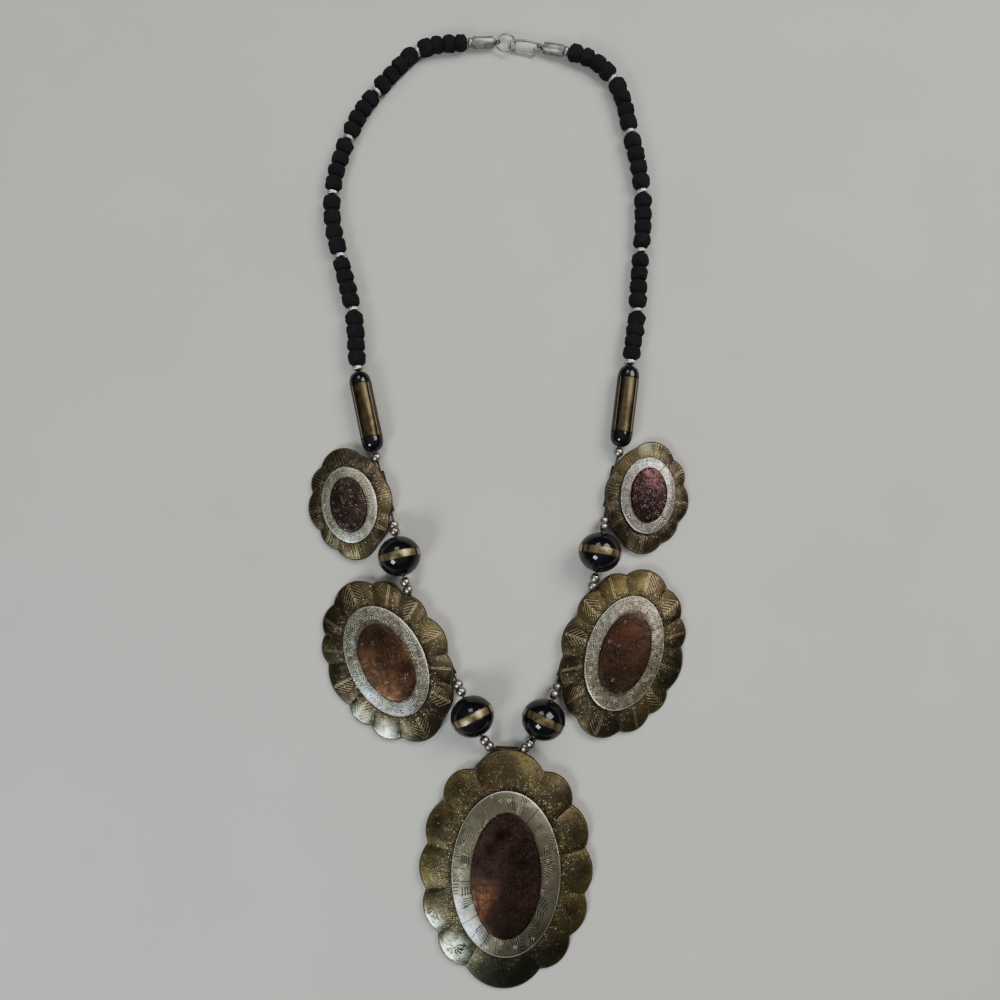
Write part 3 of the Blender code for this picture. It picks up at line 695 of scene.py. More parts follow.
def stone(place, number):
    """Rings of one rough bead, lumpy all over and dented here and there."""
    half, radius = place.length / 2 + 0.10, place.radius * 1.05
    outline = curve_profile(half, radius, 3.0, 1.42, 26)
    outline[:, 1] = np.maximum(outline[:, 1], BORE)
    angle = 2 * np.pi * np.arange(STONE_COLUMNS) / STONE_COLUMNS
    rings = np.zeros((len(outline), STONE_COLUMNS, 3))
    for i, (x, r) in enumerate(outline):
        for j, a in enumerate(angle):
            out = math.sin(a) * place.side + math.cos(a) * place.up
            point = Vector(place.middle + x * place.axis + r * out)
            lump = noise.noise(point * 0.75 + Vector((0, 0, 7.0 * number)))
            dent = noise.noise(point * 1.7 + Vector((3.0 * number, 0, 0)))
            push = LUMP * lump + DENT * min(dent, DENT_TOP) - SINK
            rings[i, j] = np.array(point) + push * min(1.0, r / 1.5) * out
    rings[..., 2] = np.maximum(rings[..., 2], REST_Z)
    return rings


def join(meshes, name):
    """One mesh out of several, which keep their UV maps."""
    bm = bmesh.new()
    for mesh in meshes:
        bm.from_mesh(mesh)
        bpy.data.meshes.remove(mesh)
    whole = bpy.data.meshes.new(name)
    bm.to_mesh(whole)
    bm.free()
    return whole


strand_stops = {}
for side, beads in found.items():
    stones = []
    for number, place in enumerate(beads):
        rings = stone(place, number)
        first, last = flow(np.linspace(-1, 1, len(rings)), rings.shape[1])
        stones.append(ring_mesh("stone", rings, first, last, closed=True))
    piece(f"{side}_rough_beads", join(stones, "stones"), rough.material, "rough_black",
          f"{side}_bead_strand")
    start, spacers = stations(side)
    strand_stops[side] = [start] + [b.middle for b in beads] + [spacers[-1].middle]
print("faces of the two strands:", made[-2:])

# %% [markdown]
# ## The clasp
#
# A ferrule is a small drawn cylinder with a collar, glued over the end of the thread,
# and a wire eye soldered to its closed end. The ring goes through the left eye. The
# hook is one bent wire: an eye at the right ferrule, a shank over the ring, a bend,
# and a leg that comes back under the ring. A wire is made by sweeping a circle along
# a smooth path.

# %% Sweep a wire along a path
def smooth_path(points, steps, closed=False):
    """Catmull-Rom curve through the points, which it passes in turn."""
    points = np.asarray(points, float)
    if closed:
        padded = np.concatenate([points[-1:], points, points[:2]])
    else:
        padded = np.concatenate([2 * points[:1] - points[1:2], points,
                                 2 * points[-1:] - points[-2:-1]])
    t = np.linspace(0, 1, steps, endpoint=False)[:, None]
    out = []
    for a, b, c, d in zip(padded, padded[1:], padded[2:], padded[3:]):
        out.append(0.5 * (2 * b + (c - a) * t + (2 * a - 5 * b + 4 * c - d) * t ** 2
                          + (3 * b - a - 3 * c + d) * t ** 3))
    out = np.concatenate(out)
    return out if closed else np.concatenate([out, points[-1:]])


def wire_mesh(path, radius, sides=14, closed=False):
    """Round wire of one radius; its ends are rounded off."""
    path = np.asarray(path, float)
    count = len(path)
    radii = np.full(count, radius)
    if not closed:
        radii[[0, -1]] = radius * 0.45
    rings, side = [], None
    for i, point in enumerate(path):
        ahead = path[(i + 1) % count] if closed else path[min(i + 1, count - 1)]
        behind = path[i - 1] if closed or i else path[0]
        axis = (ahead - behind) / np.linalg.norm(ahead - behind)
        if side is None:
            side = upright(axis)[1]
        side = side - axis * (side @ axis)
        side /= np.linalg.norm(side)
        up = np.cross(axis, side)
        angle = 2 * np.pi * np.arange(sides)[:, None] / sides
        rings.append(point + radii[i] * (np.sin(angle) * side + np.cos(angle) * up))
    run = np.concatenate([[0], np.cumsum(np.linalg.norm(np.diff(path, axis=0), axis=1))])
    start, end = flow(run, sides)
    return ring_mesh("wire", np.array(rings), start, end, closed=closed)


def circle_about(middle, radius, first, second, steps):
    """Points of a circle in the plane of two directions."""
    angle = 2 * np.pi * np.arange(steps)[:, None] / steps
    return middle + radius * (np.cos(angle) * first + np.sin(angle) * second)


print("smooth path of 4 points, 5 steps each:", len(smooth_path(np.eye(4, 3), 5)), "points")

# %% [markdown]
# The ferrule's outline is typed as steps along its length, from the closed end: a
# rounded shoulder, the long barrel, a groove and the collar. Its eye is a ring of
# wire, half sunk in the closed end as if soldered.

# %% Ferrules
EYE_R = 1.05
EYE_WIRE_R = 0.35
FERRULE_R = 1.75
FERRULE_L = 6.2
COLLAR_L = 1.5


def ferrule(side):
    """Cylinder, collar and eye of one end of the string. Returns the eye's middle."""
    node = f"{side}_ferrule"
    start = strand_stops[side][0]
    here = turned_place(points_of(node))
    here = turned_place(points_of(node), start - here.middle)
    eye_x = -here.length / 2 + EYE_R + EYE_WIRE_R
    back, front = eye_x + EYE_R - EYE_WIRE_R / 2, eye_x + EYE_R + FERRULE_L
    tip = front + COLLAR_L
    profile = [(back, BORE), (back, 1.45), (back + 0.12, 1.66), (back + 0.35, FERRULE_R),
               (front - 0.25, FERRULE_R), (front - 0.08, 1.68), (front, 1.55), (front, 1.22),
               (front + 0.18, 1.18), (front + 0.35, 1.38), (front + 0.6, 1.48),
               (front + 0.9, 1.49), (front + 1.2, 1.38), (tip - 0.08, 1.15), (tip, 1.0),
               (tip, BORE)]
    body = turned(here, profile, 64)
    eye_at = here.middle + here.axis * eye_x
    eye = wire_mesh(circle_about(eye_at, EYE_R, here.axis, here.up, 40), EYE_WIRE_R, closed=True)
    piece(f"{node}_nickel", join([body, eye], "ferrule"), nickel.material, "nickel", node)
    return eye_at


eyes = {side: ferrule(side) for side in ("left", "right")}
print("from eye to eye:", round(float(np.linalg.norm(eyes["left"] - eyes["right"])), 1), "mm")

# %% [markdown]
# The ring and the hook are only wire, but they have to pass through each other, so
# the hook's shank goes over the ring and its leg comes back under it. The points of
# the hook are typed along, beside and above the line from the ring to the right eye.

# %% Ring and hook
RING_R = 2.95
RING_WIRE_R = 0.35
HOOK_WIRE_R = 0.4
HOOK_EYE_R = 1.1
HOOK_L = 8.0

ring_points = points_of("clasp_ring")
ring_middle = (ring_points.max(axis=0) + ring_points.min(axis=0)) / 2
ring_path = circle_about(ring_middle, RING_R, np.array((1, 0, 0)), np.array((0, 1, 0)), 72)
piece("clasp_ring_nickel", wire_mesh(ring_path, RING_WIRE_R, closed=True), nickel.material,
      "nickel", "clasp_ring")

to_eye = eyes["right"] - ring_middle
forward = to_eye / np.linalg.norm(to_eye)
level_side = np.cross((0, 0, 1), forward)
hook_start = eyes["right"] - forward * HOOK_L
LIFT = RING_WIRE_R + HOOK_WIRE_R + 0.3
REACH = RING_R * 0.55
bend = [(HOOK_L - HOOK_EYE_R + HOOK_EYE_R * math.cos(a), HOOK_EYE_R * math.sin(a), 0)
        for a in np.radians(range(205, 466, 29))]
bend += [(0.50 * HOOK_L, 0.95 * HOOK_EYE_R, 0.6 * LIFT),
         (0.15 * HOOK_L, 0.55 * HOOK_EYE_R, LIFT),
         (-0.35 * REACH, 0.30 * HOOK_EYE_R, LIFT), (-0.85 * REACH, 0, 0.7 * LIFT),
         (-REACH, -0.60 * HOOK_EYE_R, 0), (-0.80 * REACH, -1.15 * HOOK_EYE_R, -0.7 * LIFT),
         (-0.25 * REACH, -1.50 * HOOK_EYE_R, -LIFT), (0.25 * HOOK_L, -1.65 * HOOK_EYE_R, -LIFT),
         (0.62 * HOOK_L, -1.85 * HOOK_EYE_R, -0.95 * LIFT),
         (0.80 * HOOK_L, -2.40 * HOOK_EYE_R, -0.85 * LIFT)]
hook_path = [hook_start + x * forward + y * level_side + np.array((0, 0, z)) for x, y, z in bend]
piece("clasp_hook_nickel", wire_mesh(smooth_path(hook_path, 6), HOOK_WIRE_R), nickel.material,
      "nickel", "clasp_hook")
print("hook wire:", len(hook_path), "points over",
      round(float(np.ptp(hook_path, axis=0)[0]), 1), "mm")

# %% [markdown]
# ## The threads
#
# Black thread shows at the bores and between the groups. In the strands it is swept
# through the middles of the beads. The lower thread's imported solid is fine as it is,
# so it only gets the material.

# %% Threads
THREAD_R = 0.3
for side, stops in strand_stops.items():
    tube = turned_place(points_of(f"{side}_tube_bead"))
    path = smooth_path([*stops, tube.middle], 4)
    piece(f"{side}_strand_thread", wire_mesh(path, THREAD_R, 10), twine.material, "thread")
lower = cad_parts["lower_thread"]
lower.data.materials.clear()
lower.data.materials.append(twine.material)
print("pieces:", len(made))

# %% [markdown]
# ## The plaques
#
# A plaque is three sheets on top of each other. The brass was cut into scallops,
# domed, chased on each lobe and stippled between them; then an oval of silver and an
# oval of copper were laid on it. Each lobe is an arc between two notches that stand on
# an ellipse, so the whole sheet can be a grid: columns run round, rows run inwards.
#
# The sizes are those of the solids. A lobe is the angle of its first notch in degrees
# and its bulge as a share of its chord. The ovals are shares of the plaque's half
# sizes, the rises of its half width. boss is how far a lobe swells, in mm.

# %% Sizes of the three kinds
Kind = namedtuple("Kind", "half silver copper rises tube_l tube_at tube_turn lobes boss motif")
LOBES = {
    "centre": ((26, 0.26), (53, 0.20), (78, 0.18), (102, 0.20), (126, 0.22), (153, 0.27),
               (207, 0.22), (234, 0.20), (258, 0.18), (282, 0.20), (307, 0.28), (334, 0.30)),
    "mid": ((25, 0.24), (53, 0.20), (78, 0.18), (108, 0.14), (131, 0.15), (161, 0.28),
            (206, 0.21), (235, 0.19), (257, 0.15), (290, 0.18), (312, 0.20), (340, 0.28)),
    "small": ((27, 0.12), (68, 0.16), (113, 0.14), (151, 0.32), (214, 0.16), (247, 0.20),
              (291, 0.20), (324, 0.31)),
}
KINDS = {
    "centre": Kind(half=(21.8, 28.6), silver=(0.674, 0.752), copper=(0.431, 0.556),
                   rises=(0.119, 0.050, 0.041), tube_l=6.4, tube_at=(-0.035, 1.08),
                   tube_turn=90, lobes=LOBES["centre"], boss=0.20, motif="tuft"),
    "mid": Kind(half=(15.8, 22.7), silver=(0.667, 0.718), copper=(0.429, 0.493),
                rises=(0.128, 0.051, 0.045), tube_l=23.9, tube_at=(0.88, -0.035),
                tube_turn=-1.5, lobes=LOBES["mid"], boss=0.17, motif="leaf"),
    "small": Kind(half=(11.0, 15.0), silver=(0.726, 0.740), copper=(0.472, 0.517),
                  rises=(0.123, 0.057, 0.057), tube_l=12.06, tube_at=(0.93, 0.09),
                  tube_turn=4, lobes=LOBES["small"], boss=0.13, motif="rays"),
}
SHEET, OVAL_EDGE, LAYER_GAP, SEAT = 0.8, 0.5, 0.3, 0.96
SOLDER, BACK_TUBE_R = 0.2, 1.1

Plaque = namedtuple("Plaque", "kind side oval_turn silver_slip")
PLAQUES = {
    "small_left": Plaque("small", side=1, oval_turn=0, silver_slip=-0.7),
    "mid_left": Plaque("mid", side=1, oval_turn=-2, silver_slip=0.0),
    "centre": Plaque("centre", side=1, oval_turn=1, silver_slip=-0.4),
    "mid_right": Plaque("mid", side=-1, oval_turn=3, silver_slip=0.0),
    "small_right": Plaque("small", side=-1, oval_turn=3, silver_slip=0.2),
}
print("lobes:", {name: len(kind.lobes) for name, kind in KINDS.items()})

# %% [markdown]
# Each plaque lies tilted on its own back tube. An oval's vertices spread most along
# its height and least through its thickness, so the silver oval's eigenvectors give
# the tilt, and the whole plaque is then placed from it.

# %% Find where each plaque lies
def half_of(kind, shares):
    """Half width and half height of one of a plaque's ovals, in mm."""
    return kind.half[0] * shares[0], kind.half[1] * shares[1]


def oval_frame(node):
    """Where an oval lies: its middle at the underside, and its own three axes."""
    points = points_of(node)
    vectors = np.linalg.eigh(np.cov(points.T))[1]
    up = vectors[:, 0] * np.sign(vectors[2, 0])
    tall = vectors[:, 2] * np.sign(vectors[1, 2])
    wide = np.cross(tall, up)
    middle = points.mean(axis=0)
    off = points - middle
    for axis in (wide, tall):
        reach = off @ axis
        middle = middle + axis * (reach.max() + reach.min()) / 2
    middle = middle + up * (off @ up).min()
    return middle, np.array([wide, tall, up])


def plaque_frame(name):
    """The plaque's own frame, from its silver oval: origin under the middle, axes."""
    spec = PLAQUES[name]
    kind = KINDS[spec.kind]
    middle, axes = oval_frame(f"{name}_silver_oval")
    cosine, sine = math.cos(math.radians(spec.oval_turn)), math.sin(math.radians(spec.oval_turn))
    own = np.array([[cosine, -sine, 0], [sine, cosine, 0], [0, 0, 1]]) @ axes
    under = SHEET + kind.rises[0] * kind.half[0] + LAYER_GAP
    return middle - own[1] * spec.silver_slip - own[2] * under, own


for name in PLAQUES:
    origin, own = plaque_frame(name)
    print(name, "origin", np.round(origin, 1),
          "tilt", round(math.degrees(math.acos(own[2][2])), 1))

# %% [markdown]
# A lobe is an arc, so its bulge and the two notches say all of it: twice the arc
# tangent of twice the bulge is half the angle that the arc covers.

# %% The scalloped rim
def rim(kind, side, per_lobe):
    """Points of the rim, clockwise from the first notch, in the plaque's plane."""
    width, height = kind.half
    angle = np.radians([lobe[0] for lobe in kind.lobes])
    notches = np.stack([width * np.sin(angle), height * np.cos(angle)], axis=1)
    points = []
    for i, (_, bulge) in enumerate(kind.lobes):
        start, end = notches[i], notches[(i + 1) % len(notches)]
        chord = end - start
        long = np.linalg.norm(chord)
        half_angle = 2 * math.atan(2 * bulge)
        out = np.array((-chord[1], chord[0])) / long
        middle = (start + end) / 2 - out * long / 2 / math.tan(half_angle)
        turn = -2 * half_angle * np.arange(per_lobe) / per_lobe
        arm = start - middle
        points.append(middle + np.stack([arm[0] * np.cos(turn) - arm[1] * np.sin(turn),
                                         arm[0] * np.sin(turn) + arm[1] * np.cos(turn)], axis=1))
    return np.concatenate(points) * (side, 1)


def ellipse(half, angle, share=1.0):
    """Points of an ellipse, clockwise from its top."""
    return np.stack([half[0] * share * np.sin(angle), half[1] * share * np.cos(angle)], axis=-1)


def fade(value, low, high):
    """Smooth step from 0 at low to 1 at high."""
    t = np.clip((value - low) / (high - low), 0, 1)
    return t * t * (3 - 2 * t)


def dents(flat, pitch, layer):
    """Gentle hammer marks over a grid of points, between about -0.5 and 0.5."""
    return np.array([[noise.noise(Vector((x / pitch, y / pitch, layer))) for x, y in row]
                     for row in flat])


def across_ring(edge, seat, t):
    """Rows of points from an edge, where t is 0, to a seat, where it is 1."""
    return edge[None] + (seat - edge)[None] * t[..., None]


def lifted(flat, z):
    """A flat grid with a height at each point."""
    return np.concatenate([flat, z[..., None]], axis=2)


print("the centre plaque is", np.ptp(rim(KINDS["centre"], 1, 9), axis=0).round(1), "mm")

# %% [markdown]
# ### Patches of colour and painted light
#
# No two plaques look alike, and no plaque is even. A few round zones, in mm from the
# plaque's middle, say where a patch is darker, more golden, paler or redder. The pale
# ones are painted reflection and painted highlight, and some dark and golden ones are
# painted dark reflection and painted highlight; the others are patches of colour. They
# are stored in the vertices, so that the shader can blend its colours by them.

# %% Zones
ZONE_KINDS = ("dark", "gold", "pale", "warm")


def store(mesh, name, values):
    """Keeps one number for each vertex, under a name that the shader reads."""
    mesh.attributes.new(name, "FLOAT", "POINT").data.foreach_set("value", np.ravel(values))


def store_zones(mesh, rings, middle, zones):
    """Strength of each kind of patch at each vertex; a zone is x, y, size, amount."""
    for kind in ZONE_KINDS:
        mask = np.zeros(rings.shape[:2])
        for x, y, size, amount in zones.get(kind, []):
            away = np.linalg.norm(rings[..., :2] - middle[:2] - (x, y), axis=2)
            mask += amount * np.exp(-(away / size) ** 2)
        store(mesh, kind, np.clip(mask, 0, 1))


print("patches can be:", *ZONE_KINDS)

# %% [markdown]
# ### Relief of the brass
#
# Sheet metal is pressed, so its relief has to be in the mesh: the sheet rises from the
# rim to the seat of the silver, each lobe swells a little, a furrow runs in from each
# notch, and a fine bead goes along the rim. On the side plaques a double rib runs down
# each lobe as well. Only the hatching, thinner than a grid cell, is left to the shader.

# %% A grid over the sheet
Grid = namedtuple("Grid", "outline seat silver_reach t flat across lobe half_wide depth")


def lobe_grid(kind, side, per_lobe, rows):
    """Where each grid point lies: t goes 0 to 1 inwards, across -1 to 1 over a lobe."""
    outline = rim(kind, side, per_lobe)
    column = np.arange(len(outline))
    angle = np.arctan2(outline[:, 0] / kind.half[0], outline[:, 1] / kind.half[1])
    silver = half_of(kind, kind.silver)
    seat = ellipse(silver, angle, SEAT)
    silver_reach = np.linalg.norm(ellipse(silver, angle), axis=1)
    t = (1 - np.linspace(0, 1, rows) ** 1.15)[:, None]
    flat = across_ring(outline, seat, t)
    notch = np.append(column[::per_lobe], 0)
    lobe = column // per_lobe
    half_wide = np.stack([np.linalg.norm(flat[:, a] - flat[:, b], axis=1) / 2
                          for a, b in zip(notch, notch[1:])], axis=1)[:, lobe]
    return Grid(outline, seat, silver_reach, t, flat, 2 * (column % per_lobe) / per_lobe - 1,
                lobe, half_wide, np.linalg.norm(outline - seat, axis=1))


def dome(kind, t):
    """Height that the doming alone gives, from the rim to the seat."""
    return kind.rises[0] * kind.half[0] * (1 - (1 - t) ** 1.35)


def cushion(across, t, power=1.0):
    """Swelling of a lobe: 1 in its middle, 0 at its notches and its ends."""
    return (1 - np.abs(across) ** 2.4) * np.sin(np.pi * np.clip(t / 0.92, 0, 1)) ** power


trial = lobe_grid(KINDS["mid"], 1, 8, 6)
print("a lobe of the mid plaque is", round(2 * float(trial.half_wide[-1].max()), 1), "mm wide and",
      round(float(trial.depth.max()), 1), "mm deep at most")

# %% [markdown]
# The grid says where a point lies in its lobe, and so each relief is one line: a
# curve over t, over across, or over the distances u and v that they stand for.

# %% Press the relief into the face
FURROW_WIDE = 0.13
RIB_AT, RIB_WIDE, RIB_DEEP = 0.20, 0.11, 0.07
BEAD_AT, BEAD_WIDE, BEAD_HIGH = 0.45, 0.22, 0.07
DENT_PITCH, DENT_DEEP = 5.0, 0.16
EDGE_DROP = (0.06, 0.22)


def bell(value, width):
    """Bell curve: 1 where the value is 0, near 0 two widths away."""
    return np.exp(-(value / width) ** 2)


def pressed(kind, grid):
    """Height of the face at each grid point, and how deep in a furrow it lies."""
    t, across = grid.t, grid.across
    u, v = across * grid.half_wide, t * grid.depth
    lobe_wide = np.median(grid.half_wide[-1]) * 2
    z = SHEET + dome(kind, t) + 0 * u
    z += kind.boss * cushion(across, t, 0.9)
    furrow = bell(1 - np.abs(across), FURROW_WIDE) * (1 - fade(t, 0.35, 0.80)) * fade(t, 0, 0.08)
    z -= 0.30 * kind.boss * furrow
    if kind.motif == "leaf":
        rib = bell(np.abs(u) - RIB_AT, RIB_WIDE) * fade(v, 0.08 * lobe_wide, 0.14 * lobe_wide)
        z -= RIB_DEEP * rib * (1 - fade(v, 0.68 * lobe_wide, 0.84 * lobe_wide))
    z += BEAD_HIGH * bell(v - BEAD_AT, BEAD_WIDE)
    z += DENT_DEEP * dents(grid.flat, DENT_PITCH, 3.0) * fade(t, 0, 0.25)
    z[-2] -= EDGE_DROP[0]
    z[-1] -= EDGE_DROP[1]
    return z, furrow


print("relief of the mid plaque:", np.ptp(pressed(KINDS["mid"], trial)[0]).round(1), "mm")

# %% [markdown]
# The underside has the same doming and softer lobes, in a few rows only. Face and
# underside are joined at the rim and at the seat, so the sheet is a closed ring. Its
# UV map and the numbers in its vertices are what the engraving below reads.

# %% The brass sheet
UNDER_ROWS = (0.0, 0.06, 0.3, 0.6, 1.0)
HOLLOW_REACH = 0.45


def brass_sheet(name, finish, zones, per_lobe, rows):
    """The scalloped sheet of one plaque, with its relief and its engraving map."""
    spec = PLAQUES[name]
    kind = KINDS[spec.kind]
    origin, own = plaque_frame(name)
    grid = lobe_grid(kind, spec.side, per_lobe, rows)
    t, across, half_wide, depth = grid.t, grid.across, grid.half_wide, grid.depth
    z, furrow = pressed(kind, grid)
    below = np.array(UNDER_ROWS)[:, None]
    under_z = dome(kind, below) + 0 * across + 0.6 * kind.boss * cushion(across, below)
    rings = np.concatenate([lifted(grid.flat, z),
                            lifted(across_ring(grid.outline, grid.seat, below), under_z)])
    world = origin + rings @ own

    pad = np.zeros((len(below), len(across)))

    def engraving(u, v):
        """One side of the quads' UV values; the underside lies away from every motif."""
        return np.stack([np.concatenate([u, pad]), np.concatenate([v, pad - 5])], axis=2)

    start = engraving(across * half_wide, t * depth)
    end = engraving((across + 2 / per_lobe) * half_wide, t * np.roll(depth, -1))
    mesh = ring_mesh(f"{name}_sheet", world, start, end, uv_name="leaf", sharp=50)

    beside = np.clip((1 - t) * depth - (1 - SEAT) * grid.silver_reach, 0, None)
    own_number = (grid.lobe * 0.618 + 0.13 * len(name)) % 1.0
    store_zones(mesh, world, origin, zones)
    # hollow is 1 beside the silver's seat; the finish darkens there with patina and painted shade
    for word, values, under in (("hollow", np.exp(-beside / HOLLOW_REACH), 0.7),
                                ("furrow", furrow, 0), ("inner", fade(t, 0.30, 0.85), 0),
                                ("lobe", own_number, 0)):
        store(mesh, word, np.concatenate([values + 0 * half_wide, pad + under]))
    piece(f"{name}_brass", mesh, finish, "antique_brass", f"{name}_plate")


# %% [markdown]
# ### Engraving as a formula
#
# The UV map of the sheet holds two lengths: how far a point is from its lobe's middle
# line, and how far in from the rim. Hatching is then one line of maths: a wave of
# slanted distance. The rest of the metal is covered with short cuts in every
# direction. A grid of cells makes them: each cell draws its own angle from white noise
# and fills itself with a small comb of strokes. A graver leaves bright metal in a cut,
# and dirt stays beside it, so each kind of cut has a light and a dark mask.

# %% Hatching, combs and specks
def hatch(f, along, across, slant, pitch):
    """Parallel cuts: near 1 in a cut, near 0 between two."""
    wave = (along * math.cos(slant) - across * math.sin(slant)) / pitch % 1.0
    return f.near(abs(wave - 0.5), 0.08, 0.28)


def combs(f, u, v, cell, pitch, fill, seed):
    """Cells of short strokes, each with its own angle; fill is the share of cells used."""
    u = u + f.noise(0.5 / cell, 1) * cell * 0.9 + seed * 3.7
    v = v - f.noise(0.4 / cell, 1) * cell * 0.8 + seed * 1.3
    row = f.node("ShaderNodeMath", {"operation": "FLOOR"}, {0: v / cell})
    u = u + row * 0.37 * cell
    column = f.node("ShaderNodeMath", {"operation": "FLOOR"}, {0: u / cell})
    corner = f.node("ShaderNodeCombineXYZ", {}, {0: column, 1: row, 2: float(seed)})
    chance = f.node("ShaderNodeTexWhiteNoise", {"noise_dimensions": "3D"}, {"Vector": corner})
    x = (u / cell % 1.0 - 0.5) * cell
    y = (v / cell % 1.0 - 0.5) * cell
    turn = (chance * 17.0 % 1.0) * math.pi
    cosine = f.node("ShaderNodeMath", {"operation": "COSINE"}, {0: turn})
    sine = f.node("ShaderNodeMath", {"operation": "SINE"}, {0: turn})
    stroke = f.near(abs((x * cosine + y * sine) / pitch % 1.0 - 0.5), 0.10, 0.30)
    end = 0.46 * cell
    inside = f.near(abs(y * cosine - x * sine), 0.30 * cell, end) * (abs(x) < end) * (abs(y) < end)
    return stroke * inside * (chance < fill)


def specks(f, scale, size, where=None):
    """Round punch marks, about scale of them in a millimetre."""
    gap = f.node("ShaderNodeTexVoronoi", {}, {"Vector": where or f.place, "Scale": scale})
    return f.near(gap, size * 0.5, size)


trial_cuts = Finish("trial_cuts", 0.0, 0.5)
combs(trial_cuts, *trial_cuts.first_two(trial_cuts.place), 1.0, 0.5, 0.8, 0)
print("one layer of combs takes", len(trial_cuts.tree.nodes), "nodes")
bpy.data.materials.remove(trial_cuts.material)

# %% [markdown]
# The three kinds of plaque carry three motifs. The centre one has a small dark tuft in
# each lobe, cut as a fan of strokes about one point. The middle pair has a leaf in
# each lobe, with a double rib and slanted veins. The small pair has rays that run from
# the silver to the rim, crossed by fine hatching.

# %% Motifs
def tuft(f, u, v, size, lobe):
    """Dark fan of strokes in the middle of a lobe: (light cuts, dark cuts)."""
    low = v - (lobe * 0.12 + 0.30) * size
    turn = f.node("ShaderNodeMath", {"operation": "ARCTAN2"}, {0: u + (lobe - 0.5) * 0.8, 1: low})
    far = f.node("ShaderNodeMath", {"operation": "SQRT"}, {0: u * u + low * low})
    ray = f.near(abs((turn * 1.9 + f.noise(0.9, 2) * 1.6) % 1.0 - 0.5), 0.18, 0.38)
    facing = f.node("ShaderNodeMath", {"operation": "COSINE"}, {0: turn + lobe * 17.0})
    ray = ray * f.level(facing, -0.45, 0.25)
    reach = f.near(far + f.noise(1.6, 2) * 0.9, 0.25 * size, 0.32 * size)
    dark = ray * reach * f.level(far, 0.2, 0.6)
    halo = f.near(far + f.noise(1.1, 2) * 1.2, 0.14 * size, 0.34 * size)
    return dark * 0.10, dark + halo * 0.38


def leaf(f, u, v, size, lobe):
    """Leaf with a double rib and slanted veins: (light cuts, dark cuts)."""
    across = abs(u)
    t = f.node("ShaderNodeClamp", {}, {0: (v - 0.07 * size) / (0.74 * size)})
    blade = (t * (1 - t) * 4) ** 0.5 * (1.15 - t * 0.35) * (lobe * 0.10 + 0.25) * size
    inside = f.near(across - blade, -0.15, 0.10)
    full = (lobe * 7.0 % 1.0) > 0.30
    bare_side = ((lobe * 3.0 % 1.0) > 0.60) * (u > 0)
    vein = hatch(f, v, across, 0.80, 0.74) * inside * full * (1 - bare_side)
    vein = vein * f.level(f.noise(0.9, 2), 0.30, 0.62, 0.35, 1.0)
    between = inside * full * (1 - bare_side) * (1 - vein)
    rib = f.near(abs(across - RIB_AT), 0.04, 0.13) * (v > 0.08 * size) * (v < 0.78 * size)
    edge = f.near(abs(across - blade), 0.06, 0.20) * (v < 0.80 * size) * full
    return vein * 0.50 + rib * 0.55, between * 0.50 + edge * 0.30


def rays(f, u, v, size, lobe):
    """Rays from the silver to the rim, crossed by fine hatching: (light, dark)."""
    across = abs(u)
    ray = hatch(f, u, v, 0.12, 0.76) * f.near(across, 0.10 * size, 0.24 * size)
    side = hatch(f, v, across, 0.95, 0.62) * f.level(across, 0.14 * size, 0.26 * size)
    cut = (ray + side) * f.level(f.noise(0.35, 2), 0.36, 0.52)
    ribbed = (lobe * 5.0 % 1.0) > 0.3
    rib = f.near(abs(across - 0.24), 0.03, 0.13) * (v < 0.80 * size) * ribbed
    return cut * 0.24 + rib * 0.42, (1 - cut) * 0.24


MOTIFS = {"tuft": tuft, "leaf": leaf, "rays": rays}
print("motifs:", {name: kind.motif for name, kind in KINDS.items()})
